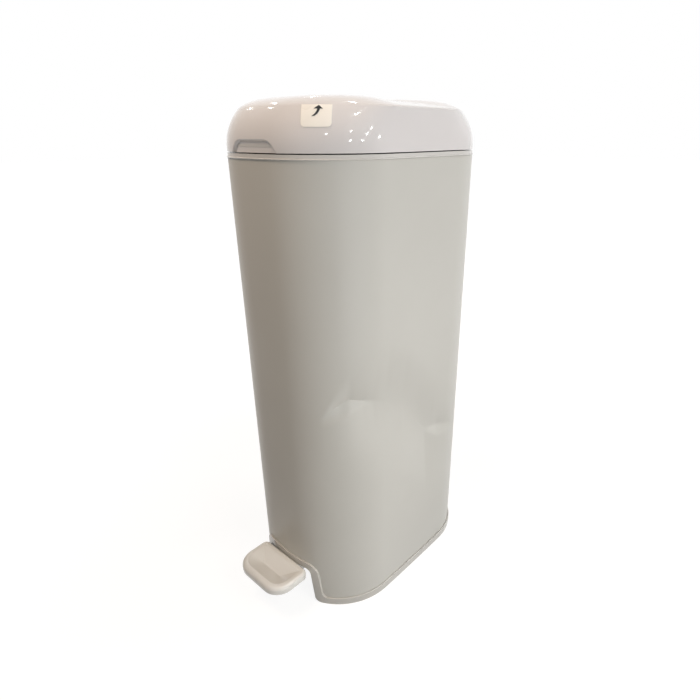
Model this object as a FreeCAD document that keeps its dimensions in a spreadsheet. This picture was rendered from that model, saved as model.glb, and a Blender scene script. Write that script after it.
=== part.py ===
import FreeCAD, Part
import Sketcher
import math
import os
from types import SimpleNamespace

# Step-on pail for sealed nursery waste: a painted steel wrap on a moulded base, a hinged
# domed lid with a filter, a top frame with clamp jaws under it, and a pedal that opens both.
# Frame: millimetres, +Z up, origin on the floor at the centre of the body, -Y to the front.

os.makedirs("parts", exist_ok=True)
doc = FreeCAD.newDocument("pedal_pail")

DRIVING_SIZES = {
    # plan outline of the body: eight tangent arcs
    "half_width": 108.0,
    "half_length": 158.7,
    "side_radius": 4540.0,
    "end_radius": 285.0,
    "corner_radius": 90.7,
    # heights of the body
    "seam_height": 600.0,
    "seam_gap": 1.2,
    "ring_height": 4.7,
    "ring_gap": 0.5,
    # clearances
    "seat": 0.1,
    "running": 0.06,
    "side_play": 0.5,
    "loose": 0.6,
    "fine_gap": 0.3,
    # how far a cutting tool runs past what it cuts: through a wall, and past the body
    "overrun": 1.0,
    "beyond": 20.0,
    # steel wrap and base
    "wrap_wall": 1.0,
    "band_height": 10.0,
    "band_proud": 2.3,
    "skirt_wall": 2.4,
    "skirt_height": 76.0,
    "base_thick": 3.0,
    "notch_height": 57.4,
    "notch_top_half": 43.5,
    "notch_floor_half": 50.0,
    "notch_corner": 9.0,
    "notch_band": 10.0,
    "notch_lip": 2.0,
    "tunnel_half": 46.0,
    "tunnel_end": 95.0,
    "post_inset": 18.0,
    "post_along": 70.0,
    "post_radius": 5.5,
    "shelf_thick": 3.0,
    "shelf_slot_margin": 3.6,
    "shelf_slot_reach": 16.5,
    # hinge and lid drive
    "hinge_out": 8.0,
    "hinge_pin_radius": 2.5,
    "knuckle_radius": 6.0,
    "lid_knuckle_half": 11.8,
    "frame_knuckle_half": 18.2,
    "ear_half": 23.6,
    "crank_reach": 20.2,
    "crank_drop": 16.4,
    "crank_half": 3.0,
    "crank_web": 2.9,
    "nose_radius": 5.0,
    "rod_ahead": 4.1,
    "rod_radius": 3.0,
    "pad_radius": 5.5,
    "push_gap": 0.9,
    "rod_rest_gap": 0.4,
    "guide_rise": 14.0,
    "guide_drop": 62.0,
    "guide_height": 8.0,
    "guide_wall": 2.0,
    "guide_front_wall": 3.5,
    "plate_drop": 14.0,
    "plate_height": 20.0,
    "plate_stand": 4.5,
    "cheek_foot": 2.0,
    "cheek_step": 5.0,
    "eye_wall": 1.0,
    "pin_end": 2.0,
    # pedal and lever
    "pivot_forward": 60.0,
    "pivot_height": 30.0,
    "pivot_pin_radius": 3.0,
    "lever_half": 9.5,
    "lever_depth": 12.0,
    "lever_start": 8.0,
    "lever_tip": 6.0,
    "lever_front_corner": 2.0,
    "lever_rear_corner": 4.0,
    "boss_wall": 2.0,
    "ear_thick": 3.5,
    "ear_foot_half": 12.0,
    "ear_top_half": 7.0,
    "ear_corner": 6.5,
    "foot_half": 16.0,
    "tongue_length": 36.0,
    "tongue_lap": 4.0,
    "pedal_half": 46.5,
    "pedal_front": 222.5,
    "pedal_back": 161.6,
    "pedal_top": 60.0,
    "pedal_depth": 17.0,
    "pedal_corner": 20.0,
    "pedal_rear_corner": 5.0,
    "pedal_rim": 9.5,
    "dish_depth": 8.0,
    "dish_ridge_half": 14.8,
    "dish_ridge_width": 3.0,
    # lid
    "lid_wall": 2.5,
    "crease_rise": 43.5,
    "ridge_rise": 58.0,
    "end_flat": 12.0,
    "end_start": 8.0,
    "end_rise": 51.0,
    "end_run": 75.0,
    "recess_floor_half": 38.0,
    "recess_top_half": 24.0,
    "recess_rise": 14.0,
    "recess_corner": 9.0,
    "recess_depth": 1.2,
    "pan_rise": 6.0,
    "pan_thick": 2.5,
    "gasket_inset": 22.0,
    "gasket_end_inset": 23.1,
    "gasket_width": 4.0,
    "arm_thick": 4.2,
    "arm_lead": 9.5,
    "label_width": 26.0,
    "label_drop": 16.0,
    "label_thick": 0.6,
    # filter in the lid
    "filter_half": 27.4,
    "filter_front": 16.4,
    "filter_back": 24.4,
    "filter_height": 18.0,
    "filter_corner": 3.5,
    "housing_wall": 2.0,
    "door_thick": 2.2,
    "door_lap": 4.6,
    "door_corner": 6.0,
    "door_pin_radius": 1.0,
    "door_pin_set": 4.6,
    "door_pin_drop": 2.6,
    "door_knuckle_radius": 2.2,
    "door_ear_inset": 7.5,
    "door_ear_thick": 4.0,
    "door_ear_half": 2.4,
    "vent_first": 4.0,
    "vent_pitch": 7.5,
    "vent_width": 3.0,
    "vent_margin": 6.0,
    # top frame under the lid
    "frame_lip_drop": 9.0,
    "well_clear_corner": 20.5,
    "window_margin": 3.0,
    "window_back": 1.0,
    "knuckle_clear": 0.6,
    # clamp tray and jaws
    "well_half": 65.0,
    "well_length_half": 99.0,
    "well_depth": 47.7,
    "well_corner": 20.0,
    "tray_wall": 2.5,
    "flange_width": 9.0,
    "flange_corner": 28.0,
    "throat_half": 40.0,
    "throat_length_half": 56.0,
    "throat_corner": 12.0,
    "collar_wall": 2.2,
    "collar_drop": 14.4,
    "jaw_axis_half": 46.0,
    "jaw_drop": 5.0,
    "jaw_thick": 3.0,
    "jaw_knuckle": 4.0,
    "jaw_pin_radius": 2.0,
    "jaw_overlap": 5.0,
    "jaw_end_gap": 3.0,
    "lug_half": 4.5,
    "lug_thick": 4.4,
    "lug_set": 3.0,
    "lip_thick": 2.2,
    "lip_height": 9.0,
    "cassette_height": 33.0,
    "cassette_corner": 16.9,
    "pleat_wall": 4.0,
    "pleat_depth": 4.0,
    # cutter
    "cutter_forward": 117.0,
    "cutter_offset": 28.0,
    "knob_half": 9.0,
    "knob_depth": 12.0,
    "knob_height": 3.8,
    "stem_half": 3.0,
    "stem_thick": 2.4,
    "stem_play": 0.4,
    "slot_margin": 5.0,
    "keeper_half": 6.0,
    "keeper_depth": 8.0,
    "keeper_drop": 3.0,
    "blade_half": 5.0,
    "blade_thick": 0.6,
    "blade_length": 9.0,
    # bucket
    "bucket_side_gap": 18.0,
    "bucket_end_gap": 28.7,
    "bucket_corner": 72.0,
    "bucket_taper": 10.0,
    "bucket_forward": 8.0,
    "bucket_height": 316.0,
    "bucket_wall": 1.8,
    "bucket_rim": 5.0,
    "bail_ear_thick": 3.0,
    "bail_ear_half": 5.0,
    "bail_ear_rise": 4.5,
    "bail_ear_root": 2.0,
    "bail_radius": 2.0,
    "bail_reach": 62.0,
    "bail_corner": 22.0,
    "grip_radius": 5.0,
    "grip_half": 26.0,
}

sheet = doc.addObject("Spreadsheet::Sheet", "Sizes")
for row, (alias, value) in enumerate(DRIVING_SIZES.items(), start=1):
    sheet.set(f"A{row}", alias)
    sheet.set(f"B{row}", str(value))
    sheet.setAlias(f"B{row}", alias)
doc.recompute()


class Size:
    """A length that knows its value and the spreadsheet formula that gives it."""

    def __init__(self, value, formula):
        self.value = value
        self.formula = formula

    def __add__(self, other):
        other = as_size(other)
        return Size(self.value + other.value, f"({self.formula} + {other.formula})")

    def __sub__(self, other):
        other = as_size(other)
        return Size(self.value - other.value, f"({self.formula} - {other.formula})")

    def __mul__(self, factor):
        return Size(self.value * factor, f"({self.formula} * {factor})")

    def __truediv__(self, factor):
        return self * (1.0 / factor)

    def __neg__(self):
        return Size(-self.value, f"(0 - {self.formula})")

    def at_most(self, other):
        return Size(min(self.value, other.value), f"min({self.formula}; {other.formula})")


def as_size(number):
    return number if isinstance(number, Size) else Size(float(number), str(float(number)))


s = SimpleNamespace(**{alias: Size(value, f"Sizes.{alias}") for alias, value in DRIVING_SIZES.items()})
ZERO = as_size(0)
pieces = []


def bind(obj, prop, size):
    """Give a property its value from the sheet."""
    obj.setExpression(prop, as_size(size).formula)


def place(obj, x=0, y=0, z=0, rotation=None):
    """Put an object at a point worked out from the sheet, turned by a fixed rotation."""
    if rotation is not None:
        obj.Placement.Rotation = rotation
    bind(obj, "Placement.Base.x", x)
    bind(obj, "Placement.Base.y", y)
    bind(obj, "Placement.Base.z", z)


def kept(obj, label):
    """Name a finished piece and put it on the list of pieces to write out."""
    obj.Label = label
    pieces.append(obj)
    return obj


# ---------------------------------------------------------------- sketches

def new_body(label):
    body = doc.addObject("PartDesign::Body", label)
    body.Label = label
    return body


def new_sketch(body, role, height=ZERO):
    """A sketch on one of the body's own origin planes, raised along the plane's normal."""
    sketch = body.newObject("Sketcher::SketchObject", body.Name + "_sketch")
    plane = next(o for o in body.Origin.OriginFeatures if o.Role == role)
    sketch.AttachmentSupport = [(plane, "")]
    sketch.MapMode = "FlatFace"
    bind(sketch, "AttachmentOffset.Base.z", height)
    return sketch


def pin_down(sketch, geometry, point, x, y):
    """Hold a point of the sketch at (x, y), whichever side of the axes it lies on."""
    for kind, size, axis in (("DistanceX", as_size(x), -2), ("DistanceY", as_size(y), -1)):
        if size.value == 0:
            sketch.addConstraint(Sketcher.Constraint("PointOnObject", geometry, point, axis))
        elif size.value > 0:
            index = sketch.addConstraint(
                Sketcher.Constraint(kind, -1, 1, geometry, point, size.value))
            sketch.setExpression(f"Constraints[{index}]", size.formula)
        else:
            index = sketch.addConstraint(
                Sketcher.Constraint(kind, geometry, point, -1, 1, -size.value))
            sketch.setExpression(f"Constraints[{index}]", (-size).formula)


def fix_radius(sketch, geometry, size):
    index = sketch.addConstraint(Sketcher.Constraint("Radius", geometry, size.value))
    sketch.setExpression(f"Constraints[{index}]", size.formula)


def draw_path(sketch, corners):
    """A closed path of straight lines; a corner given as (x, y, radius) is rounded."""
    corners = [tuple(as_size(v) for v in corner) for corner in corners]
    points = [FreeCAD.Vector(c[0].value, c[1].value, 0) for c in corners]
    count = len(points)
    entry, leave, arcs = [], [], []
    for i, corner in enumerate(corners):
        back = (points[i - 1] - points[i]).normalize()
        ahead = (points[(i + 1) % count] - points[i]).normalize()
        if len(corner) == 2:
            entry.append(points[i])
            leave.append(points[i])
            arcs.append(None)
            continue
        half = back.getAngle(ahead) / 2
        reach = corner[2].value / math.tan(half)
        entry.append(points[i] + back * reach)
        leave.append(points[i] + ahead * reach)
        centre = points[i] + (back + ahead).normalize() * (corner[2].value / math.sin(half))
        arcs.append((centre, back.cross(ahead).z < 0))
    lines = [sketch.addGeometry(Part.LineSegment(leave[i], entry[(i + 1) % count]))
             for i in range(count)]
    for i, corner in enumerate(corners):
        if arcs[i] is None:
            sketch.addConstraint(Sketcher.Constraint("Coincident", lines[i - 1], 2, lines[i], 1))
            pin_down(sketch, lines[i], 1, corner[0], corner[1])
            continue
        centre, left_turn = arcs[i]
        first, last = (entry[i], leave[i]) if left_turn else (leave[i], entry[i])
        begin = math.atan2(first.y - centre.y, first.x - centre.x)
        end = math.atan2(last.y - centre.y, last.x - centre.x)
        circle = Part.Circle(centre, FreeCAD.Vector(0, 0, 1), corner[2].value)
        arc = sketch.addGeometry(Part.ArcOfCircle(circle, begin, end))
        in_end, out_end = (1, 2) if left_turn else (2, 1)
        sketch.addConstraint(Sketcher.Constraint("Tangent", lines[i - 1], 2, arc, in_end))
        sketch.addConstraint(Sketcher.Constraint("Tangent", arc, out_end, lines[i], 1))
        fix_radius(sketch, arc, corner[2])
        corner_mark = sketch.addGeometry(Part.Point(points[i]), True)
        pin_down(sketch, corner_mark, 1, corner[0], corner[1])
        sketch.addConstraint(Sketcher.Constraint("PointOnObject", corner_mark, 1, lines[i - 1]))
        sketch.addConstraint(Sketcher.Constraint("PointOnObject", corner_mark, 1, lines[i]))


def corner_centre(half_width, half_length, side_radius, end_radius, corner_radius):
    """Centre of the corner arc that lies inside and touches the side arc and the end arc."""
    side = (half_width - side_radius, 0.0, side_radius - corner_radius)
    end = (0.0, half_length - end_radius, end_radius - corner_radius)
    across, along = end[0] - side[0], end[1] - side[1]
    gap = math.hypot(across, along)
    run = (side[2] ** 2 - end[2] ** 2 + gap ** 2) / (2 * gap)
    rise = math.sqrt(side[2] ** 2 - run ** 2)
    return (side[0] + (run * across - rise * along) / gap,
            side[1] + (run * along + rise * across) / gap)


def draw_outline(sketch, half_width, half_length, side_radius, end_radius, corner_radius):
    """The body's plan outline: two flat side arcs, two end arcs and four corner arcs."""
    cx, cy = corner_centre(half_width.value, half_length.value, side_radius.value,
                           end_radius.value, corner_radius.value)
    side_angle = math.atan2(cy, cx + side_radius.value - half_width.value)
    end_angle = math.atan2(cy + end_radius.value - half_length.value, cx)
    quarter, half = math.pi / 2, math.pi
    side_x, end_y = side_radius - half_width, end_radius - half_length
    spans = [
        (-side_x.value, 0, side_radius, -side_angle, side_angle),
        (cx, cy, corner_radius, side_angle, end_angle),
        (0, -end_y.value, end_radius, end_angle, half - end_angle),
        (-cx, cy, corner_radius, half - end_angle, half - side_angle),
        (side_x.value, 0, side_radius, half - side_angle, half + side_angle),
        (-cx, -cy, corner_radius, half + side_angle, half + end_angle),
        (0, end_y.value, end_radius, half + end_angle, 2 * half - end_angle),
        (cx, -cy, corner_radius, -end_angle, -side_angle),
    ]
    arcs = []
    for x, y, radius, begin, end in spans:
        circle = Part.Circle(FreeCAD.Vector(x, y, 0), FreeCAD.Vector(0, 0, 1), radius.value)
        arcs.append(sketch.addGeometry(Part.ArcOfCircle(circle, begin, end)))
    for i, arc in enumerate(arcs):
        sketch.addConstraint(Sketcher.Constraint("Tangent", arc, 2, arcs[(i + 1) % 8], 1))
        fix_radius(sketch, arc, spans[i][2])
    pin_down(sketch, arcs[0], 3, -side_x, ZERO)
    pin_down(sketch, arcs[4], 3, side_x, ZERO)
    pin_down(sketch, arcs[2], 3, ZERO, -end_y)
    pin_down(sketch, arcs[6], 3, ZERO, end_y)


def draw_body_outline(sketch, inset):
    draw_outline(sketch, s.half_width - inset, s.half_length - inset, s.side_radius - inset,
                 s.end_radius - inset, s.corner_radius - inset)


# ---------------------------------------------------------------- solids

def pad(body, sketch, length, reverse=False, both_ways=False):
    feature = body.newObject("PartDesign::Pad", body.Name + "_pad")
    feature.Profile = sketch
    bind(feature, "Length", length)
    feature.Reversed = reverse
    if both_ways:
        feature.SideType = "Symmetric"
    return feature


def slab(label, inset, bottom, height, hollow=None):
    """An upright block with the body's plan outline; with hollow, a ring of that inset inside."""
    body = new_body(label)
    sketch = new_sketch(body, "XY_Plane", as_size(bottom))
    draw_body_outline(sketch, as_size(inset))
    if hollow is not None:
        draw_body_outline(sketch, as_size(hollow))
    pad(body, sketch, height)
    return body


def upright(label, corners, bottom, height, hollow=None):
    """An upright block on a plan path, with a second path as its hollow."""
    body = new_body(label)
    sketch = new_sketch(body, "XY_Plane", as_size(bottom))
    draw_path(sketch, corners)
    if hollow is not None:
        draw_path(sketch, hollow)
    pad(body, sketch, height)
    return body


def front_prism(label, corners, length, rear=False):
    """A block with a front-view path, running from the centre plane to the front or rear."""
    body = new_body(label)
    sketch = new_sketch(body, "XZ_Plane")
    draw_path(sketch, corners)
    pad(body, sketch, length, reverse=rear)
    return body


def side_prism(label, corners, half):
    """A block with a side-view path, reaching half to each side of the centre plane."""
    body = new_body(label)
    sketch = new_sketch(body, "YZ_Plane")
    draw_path(sketch, corners)
    pad(body, sketch, as_size(half) * 2, both_ways=True)
    return body


def box(label, x0, x1, y0, y1, z0, z1):
    block = doc.addObject("Part::Box", label)
    x0, x1, y0, y1, z0, z1 = (as_size(v) for v in (x0, x1, y0, y1, z0, z1))
    bind(block, "Length", x1 - x0)
    bind(block, "Width", y1 - y0)
    bind(block, "Height", z1 - z0)
    place(block, x0, y0, z0)
    return block


ALONG = {
    "x": FreeCAD.Rotation(FreeCAD.Vector(0, 1, 0), 90),
    "y": FreeCAD.Rotation(FreeCAD.Vector(1, 0, 0), -90),
    "z": FreeCAD.Rotation(),
}


def rod(label, axis, radius, x, y, z, length):
    """A round bar that starts at a point and runs along the positive axis."""
    bar = doc.addObject("Part::Cylinder", label)
    bind(bar, "Radius", radius)
    bind(bar, "Height", length)
    place(bar, x, y, z, ALONG[axis])
    return bar


def fuse(label, parts):
    joined = doc.addObject("Part::MultiFuse", label)
    joined.Shapes = parts
    joined.Refine = True
    return joined


def cut(label, base, tools):
    result = doc.addObject("Part::Cut", label)
    result.Base = base
    result.Tool = tools[0] if len(tools) == 1 else fuse(label + "_tools", tools)
    result.Refine = True
    return result


def common(label, base, tool):
    result = doc.addObject("Part::Common", label)
    result.Base = base
    result.Tool = tool
    result.Refine = True
    return result


def rectangle(half, y0, y1, radius):
    """Corners of a rounded rectangle, half to each side in x and from y0 to y1."""
    half, y0, y1 = as_size(half), as_size(y0), as_size(y1)
    return [(half, y0, radius), (half, y1, radius), (-half, y1, radius), (-half, y0, radius)]


# ---------------------------------------------------------------- levels and axes

deck_top = s.seam_height - s.seam_gap / 2
deck_bottom = deck_top - s.ring_height
wrap_top = deck_bottom - s.ring_gap
lid_bottom = s.seam_height + s.seam_gap / 2
hinge_y = s.half_length + s.hinge_out
hinge_z = deck_top - s.ring_height / 2
nose_y = hinge_y - s.crank_reach
nose_z = hinge_z - s.crank_drop
# the crank nose swings forward of its rest place, so the rod stands ahead of it
rod_y = nose_y - s.rod_ahead
rod_top = nose_z - s.nose_radius - s.push_gap
lever_top = s.pivot_height + s.lever_depth / 2
lever_bottom = s.pivot_height - s.lever_depth / 2
inner_inset = s.wrap_wall + s.seat
skirt_inset = inner_inset + s.skirt_wall
far_front = s.half_length + s.beyond
far_side = s.half_width + s.beyond
crank_slot_half = s.crank_half + s.side_play * 2


# ---------------------------------------------------------------- steel wrap and base

def notch_path(grow, corner_grow):
    """Front view of the pedal notch, grown outwards evenly."""
    return [
        (s.notch_floor_half + grow, -s.band_height),
        (s.notch_top_half + grow, s.notch_height + grow, s.notch_corner + corner_grow),
        (-s.notch_top_half - grow, s.notch_height + grow, s.notch_corner + corner_grow),
        (-s.notch_floor_half - grow, -s.band_height),
    ]


slot_bottom = nose_z - s.nose_radius
wrap_ring = slab("wrap_ring", 0, s.base_thick, wrap_top - s.base_thick, hollow=s.wrap_wall)
wrap_notch = front_prism("wrap_notch", notch_path(s.notch_lip, s.notch_lip), far_front)
wrap_slot = box("wrap_slot", -crank_slot_half, crank_slot_half, rod_y, hinge_y,
                slot_bottom, s.seam_height)
kept(cut("steel_wrap", wrap_ring, [wrap_notch, wrap_slot]), "steel_wrap")

arch_top = s.notch_height + s.notch_band
arch_foot_half = s.notch_floor_half + s.notch_band
arch_top_half = s.notch_top_half + s.notch_band
arch_corner = s.notch_corner + s.notch_band
band_ring = slab("band_ring", -s.band_proud, 0, arch_top, hollow=-s.seat)
band_front = front_prism("band_front", [
    (-far_side, 0), (far_side, 0), (far_side, s.band_height),
    (arch_foot_half, s.band_height, s.notch_corner),
    (arch_top_half, arch_top, arch_corner),
    (-arch_top_half, arch_top, arch_corner),
    (-arch_foot_half, s.band_height, s.notch_corner),
    (-far_side, s.band_height)], far_front)
band_rear = box("band_rear", -far_side, far_side, 0, far_front, 0, s.band_height)
band = common("band", band_ring, fuse("band_region", [band_front, band_rear]))
lip_ring = slab("lip_ring", -s.band_proud, 0, arch_top, hollow=skirt_inset)
lip_front = front_prism("lip_front", notch_path(s.notch_lip - s.seat, s.notch_lip - s.seat),
                        far_front)
lip_web = box("lip_web", -far_side, far_side, -far_front, far_front, 0, s.base_thick)
rim_lip = common("rim_lip", lip_ring, fuse("lip_region", [lip_front, lip_web]))
skirt = slab("skirt", inner_inset, 0, s.skirt_height, hollow=skirt_inset)
notch_flare = s.notch_floor_half + s.notch_corner * 2
notch_cut = front_prism("notch_cut", [
    (-notch_flare, -s.band_height), (notch_flare, -s.band_height), (notch_flare, 0),
    (s.notch_floor_half, 0, s.notch_corner),
    (s.notch_top_half, s.notch_height, s.notch_corner),
    (-s.notch_top_half, s.notch_height, s.notch_corner),
    (-s.notch_floor_half, 0, s.notch_corner),
    (-notch_flare, 0)], far_front)
kept(cut("base_rim", fuse("rim_whole", [band, rim_lip, skirt]), [notch_cut]), "base_rim")

post_x = s.half_width - s.post_inset
shelf_top = s.skirt_height + s.shelf_thick
floor_plate = slab("floor_plate", skirt_inset + s.seat, 0, s.base_thick)
tunnel = upright("tunnel", rectangle(s.tunnel_half, -far_front, -s.tunnel_end, s.notch_corner),
                 -s.base_thick, s.base_thick * 3)
posts = [rod(f"post_{i}_{j}", "z", s.post_radius, post_x * i, s.post_along * j, 0, s.skirt_height)
         for i in (-1, 1) for j in (-1, 1)]
kept(cut("base_plate", fuse("plate_and_posts", [floor_plate] + posts), [tunnel]), "base_plate")

shelf_plate = slab("shelf_plate", s.wrap_wall + s.side_play, s.skirt_height, s.shelf_thick)
slot_half = s.pad_radius + s.shelf_slot_margin
shelf_slot = box("shelf_slot", -slot_half, slot_half, rod_y - s.shelf_slot_reach, far_front,
                 s.skirt_height - s.overrun, shelf_top + s.overrun)
kept(cut("inner_shelf", shelf_plate, [shelf_slot]), "inner_shelf")

# ---------------------------------------------------------------- pedal, lever and push rod

ear_inner = s.lever_half + s.side_play
ear_outer = ear_inner + s.ear_thick
bracket_foot = box("bracket_foot", -ear_outer, ear_outer, -s.pivot_forward - s.foot_half,
                   -s.pivot_forward + s.foot_half, s.base_thick, s.base_thick + s.ear_thick)
ear_top = s.pivot_height + s.ear_top_half
bracket_ears = side_prism("bracket_ears", [
    (-s.pivot_forward - s.ear_foot_half, s.base_thick),
    (-s.pivot_forward + s.ear_foot_half, s.base_thick),
    (-s.pivot_forward + s.ear_top_half, ear_top, s.ear_corner),
    (-s.pivot_forward - s.ear_top_half, ear_top, s.ear_corner)], ear_outer)
gap_reach = s.foot_half + s.overrun
bracket_gap = box("bracket_gap", -ear_inner, ear_inner, -s.pivot_forward - gap_reach,
                  -s.pivot_forward + gap_reach, s.base_thick + s.ear_thick, ear_top + s.overrun)
bracket_bore = rod("bracket_bore", "x", s.pivot_pin_radius + s.running, -ear_outer - s.overrun,
                   -s.pivot_forward, s.pivot_height, (ear_outer + s.overrun) * 2)
kept(cut("pedal_bracket", fuse("bracket_whole", [bracket_foot, bracket_ears]),
         [bracket_gap, bracket_bore]), "pedal_bracket")
kept(rod("pedal_pin", "x", s.pivot_pin_radius, -ear_outer - s.pin_end, -s.pivot_forward,
         s.pivot_height, (ear_outer + s.pin_end) * 2), "pedal_pin")

tongue_back = s.pedal_back - s.tongue_length
lever_front = s.pedal_back - s.lever_start
lever_bar = side_prism("lever_bar", [
    (-lever_front, lever_bottom, s.lever_front_corner),
    (rod_y + s.lever_tip, lever_bottom, s.lever_rear_corner),
    (rod_y + s.lever_tip, lever_top, s.lever_rear_corner),
    (-lever_front, lever_top, s.lever_front_corner)], s.lever_half)
lever_boss = rod("lever_boss", "x", s.lever_depth / 2 + s.boss_wall, -s.lever_half,
                 -s.pivot_forward, s.pivot_height, s.lever_half * 2)
lever_bore = rod("lever_bore", "x", s.pivot_pin_radius + s.running, -s.lever_half - s.overrun,
                 -s.pivot_forward, s.pivot_height, (s.lever_half + s.overrun) * 2)
kept(cut("pedal_lever", fuse("lever_whole", [lever_bar, lever_boss]), [lever_bore]),
     "pedal_lever")

pedal_bottom = s.pedal_top - s.pedal_depth
pedal_body = new_body("pedal_form")
pedal_sketch = new_sketch(pedal_body, "XY_Plane", pedal_bottom)
draw_path(pedal_sketch, [
    (s.pedal_half, -s.pedal_back, s.pedal_rear_corner),
    (-s.pedal_half, -s.pedal_back, s.pedal_rear_corner),
    (-s.pedal_half, -s.pedal_front, s.pedal_corner),
    (s.pedal_half, -s.pedal_front, s.pedal_corner)])
pedal_blank = pad(pedal_body, pedal_sketch, s.pedal_depth)
doc.recompute()
rolled = pedal_body.newObject("PartDesign::Fillet", "pedal_rolled_edge")
top_edges = [f"Edge{n}" for n, edge in enumerate(pedal_blank.Shape.Edges, start=1)
             if abs(edge.BoundBox.ZMin - s.pedal_top.value) < 1e-6]
rolled.Base = (pedal_blank, top_edges)
bind(rolled, "Radius", s.pedal_rim / 2)
pedal_body.Tip = rolled
dish_middle = (s.pedal_front + s.pedal_back) / 2
dish_half = s.pedal_half - s.pedal_rim
dish_mouth = new_sketch(pedal_body, "XY_Plane", s.pedal_top)
draw_path(dish_mouth, rectangle(dish_half, -s.pedal_front + s.pedal_rim,
                                -s.pedal_back - s.pedal_rim, s.pedal_corner - s.pedal_rim))
dish_floor = new_sketch(pedal_body, "XY_Plane", s.pedal_top - s.dish_depth)
draw_path(dish_floor, rectangle(s.dish_ridge_half, -dish_middle - s.dish_ridge_width / 2,
                                -dish_middle + s.dish_ridge_width / 2, s.dish_ridge_width / 3))
dish = pedal_body.newObject("PartDesign::SubtractiveLoft", "pedal_dish")
dish.Profile = dish_mouth
dish.Sections = [dish_floor]
dish.Ruled = True
pedal_body.Tip = dish
tongue = box("pedal_tongue", -s.lever_half - s.tongue_lap, s.lever_half + s.tongue_lap,
             -s.pedal_back - s.tongue_lap, -tongue_back, lever_top, pedal_bottom + s.tongue_lap)
kept(fuse("pedal", [pedal_body, tongue]), "pedal")

rod_bottom = lever_top + s.rod_rest_gap
rod_shaft = rod("rod_shaft", "z", s.rod_radius, 0, rod_y, rod_bottom, rod_top - rod_bottom)
rod_pad = rod("rod_pad", "z", s.pad_radius, 0, rod_y, rod_top - s.rod_radius, s.rod_radius)
kept(fuse("push_rod", [rod_shaft, rod_pad]), "push_rod")

wall_core = slab("wall_core", inner_inset, 0, s.seam_height)
guide_half = s.pad_radius + s.guide_wall
for label, level in (("rod_guide_lower", shelf_top + s.guide_rise),
                     ("rod_guide_upper", wrap_top - s.guide_drop)):
    block = box(label + "_block", -guide_half, guide_half,
                rod_y - s.rod_radius - s.guide_front_wall, far_front, level,
                level + s.guide_height)
    bore = rod(label + "_bore", "z", s.rod_radius + s.running, 0, rod_y, level - s.overrun,
               s.guide_height + s.overrun * 2)
    kept(cut(label, common(label + "_foot", block, wall_core), [bore]), label)

# ---------------------------------------------------------------- rear hinge

plate_top = wrap_top - s.plate_drop
plate_bottom = plate_top - s.plate_height
plate_back = s.half_length + s.plate_stand
eye_radius = s.knuckle_radius + s.eye_wall
body_core = slab("body_core", -s.seat, 0, s.seam_height + s.beyond)
hinge_plate = box("hinge_plate", -s.ear_half, s.ear_half, rod_y, plate_back, plate_bottom,
                  plate_top)
hinge_cheeks = side_prism("hinge_cheeks", [
    (nose_y, plate_bottom), (plate_back, plate_bottom),
    (hinge_y + eye_radius, hinge_z - s.cheek_step), (hinge_y + eye_radius, hinge_z),
    (hinge_y - eye_radius, hinge_z), (s.half_length - s.cheek_foot, plate_top),
    (nose_y, plate_top)], s.ear_half)
cheek_eyes = rod("cheek_eyes", "x", eye_radius, -s.ear_half, hinge_y, hinge_z, s.ear_half * 2)
cheek_gap_half = s.frame_knuckle_half + s.side_play
gap_back, gap_top = hinge_y + s.beyond, hinge_z + s.beyond
cheek_gap = box("cheek_gap", -cheek_gap_half, cheek_gap_half, plate_back, gap_back,
                plate_bottom - s.overrun, gap_top)
cheek_gap_top = box("cheek_gap_top", -cheek_gap_half, cheek_gap_half, nose_y, gap_back,
                    plate_top, gap_top)
pin_bore = rod("pin_bore", "x", s.hinge_pin_radius + s.running, -s.ear_half - s.overrun, hinge_y,
               hinge_z, (s.ear_half + s.overrun) * 2)
kept(cut("hinge_bracket", fuse("hinge_whole", [hinge_plate, hinge_cheeks, cheek_eyes]),
         [body_core, cheek_gap, cheek_gap_top, pin_bore]), "hinge_bracket")
kept(rod("hinge_pin", "x", s.hinge_pin_radius, -s.ear_half - s.pin_end, hinge_y, hinge_z,
         (s.ear_half + s.pin_end) * 2), "hinge_pin")

# ---------------------------------------------------------------- top frame

frame_deck = slab("frame_deck", 0, deck_bottom, s.ring_height)
lip_inset = s.wrap_wall + s.side_play
frame_lip = slab("frame_lip", lip_inset, deck_bottom - s.frame_lip_drop, s.frame_lip_drop,
                 hollow=lip_inset + s.skirt_wall)
frame_arms = box("frame_arms", -s.frame_knuckle_half, s.frame_knuckle_half, rod_y, hinge_y,
                 deck_bottom, deck_top)
frame_knuckles = rod("frame_knuckles", "x", s.knuckle_radius, -s.frame_knuckle_half, hinge_y,
                     hinge_z, s.frame_knuckle_half * 2)
under_deck, over_deck = deck_bottom - s.beyond, deck_top + s.beyond
knuckle_gap_half = s.lid_knuckle_half + s.side_play
knuckle_gap = box("knuckle_gap", -knuckle_gap_half, knuckle_gap_half,
                  s.half_length + s.knuckle_clear, gap_back, under_deck, over_deck)
well_mouth = upright("well_mouth", rectangle(s.well_half + s.side_play,
                                             -s.well_length_half - s.side_play,
                                             s.well_length_half + s.side_play,
                                             s.well_clear_corner),
                     under_deck, over_deck - under_deck)
rod_window = box("rod_window", -guide_half, guide_half, rod_y - s.pad_radius - s.window_margin,
                 rod_y + s.pad_radius + s.window_back, under_deck, over_deck)
crank_slot = box("crank_slot", -crank_slot_half, crank_slot_half, rod_y, gap_back, under_deck,
                 over_deck)
lip_gap_half = guide_half + s.guide_wall
lip_gap = box("lip_gap", -lip_gap_half, lip_gap_half, rod_y, far_front, under_deck, deck_bottom)
cutter_slot_half = s.cutter_offset + s.slot_margin
slot_reach = s.stem_thick / 2 + s.stem_play
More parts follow.
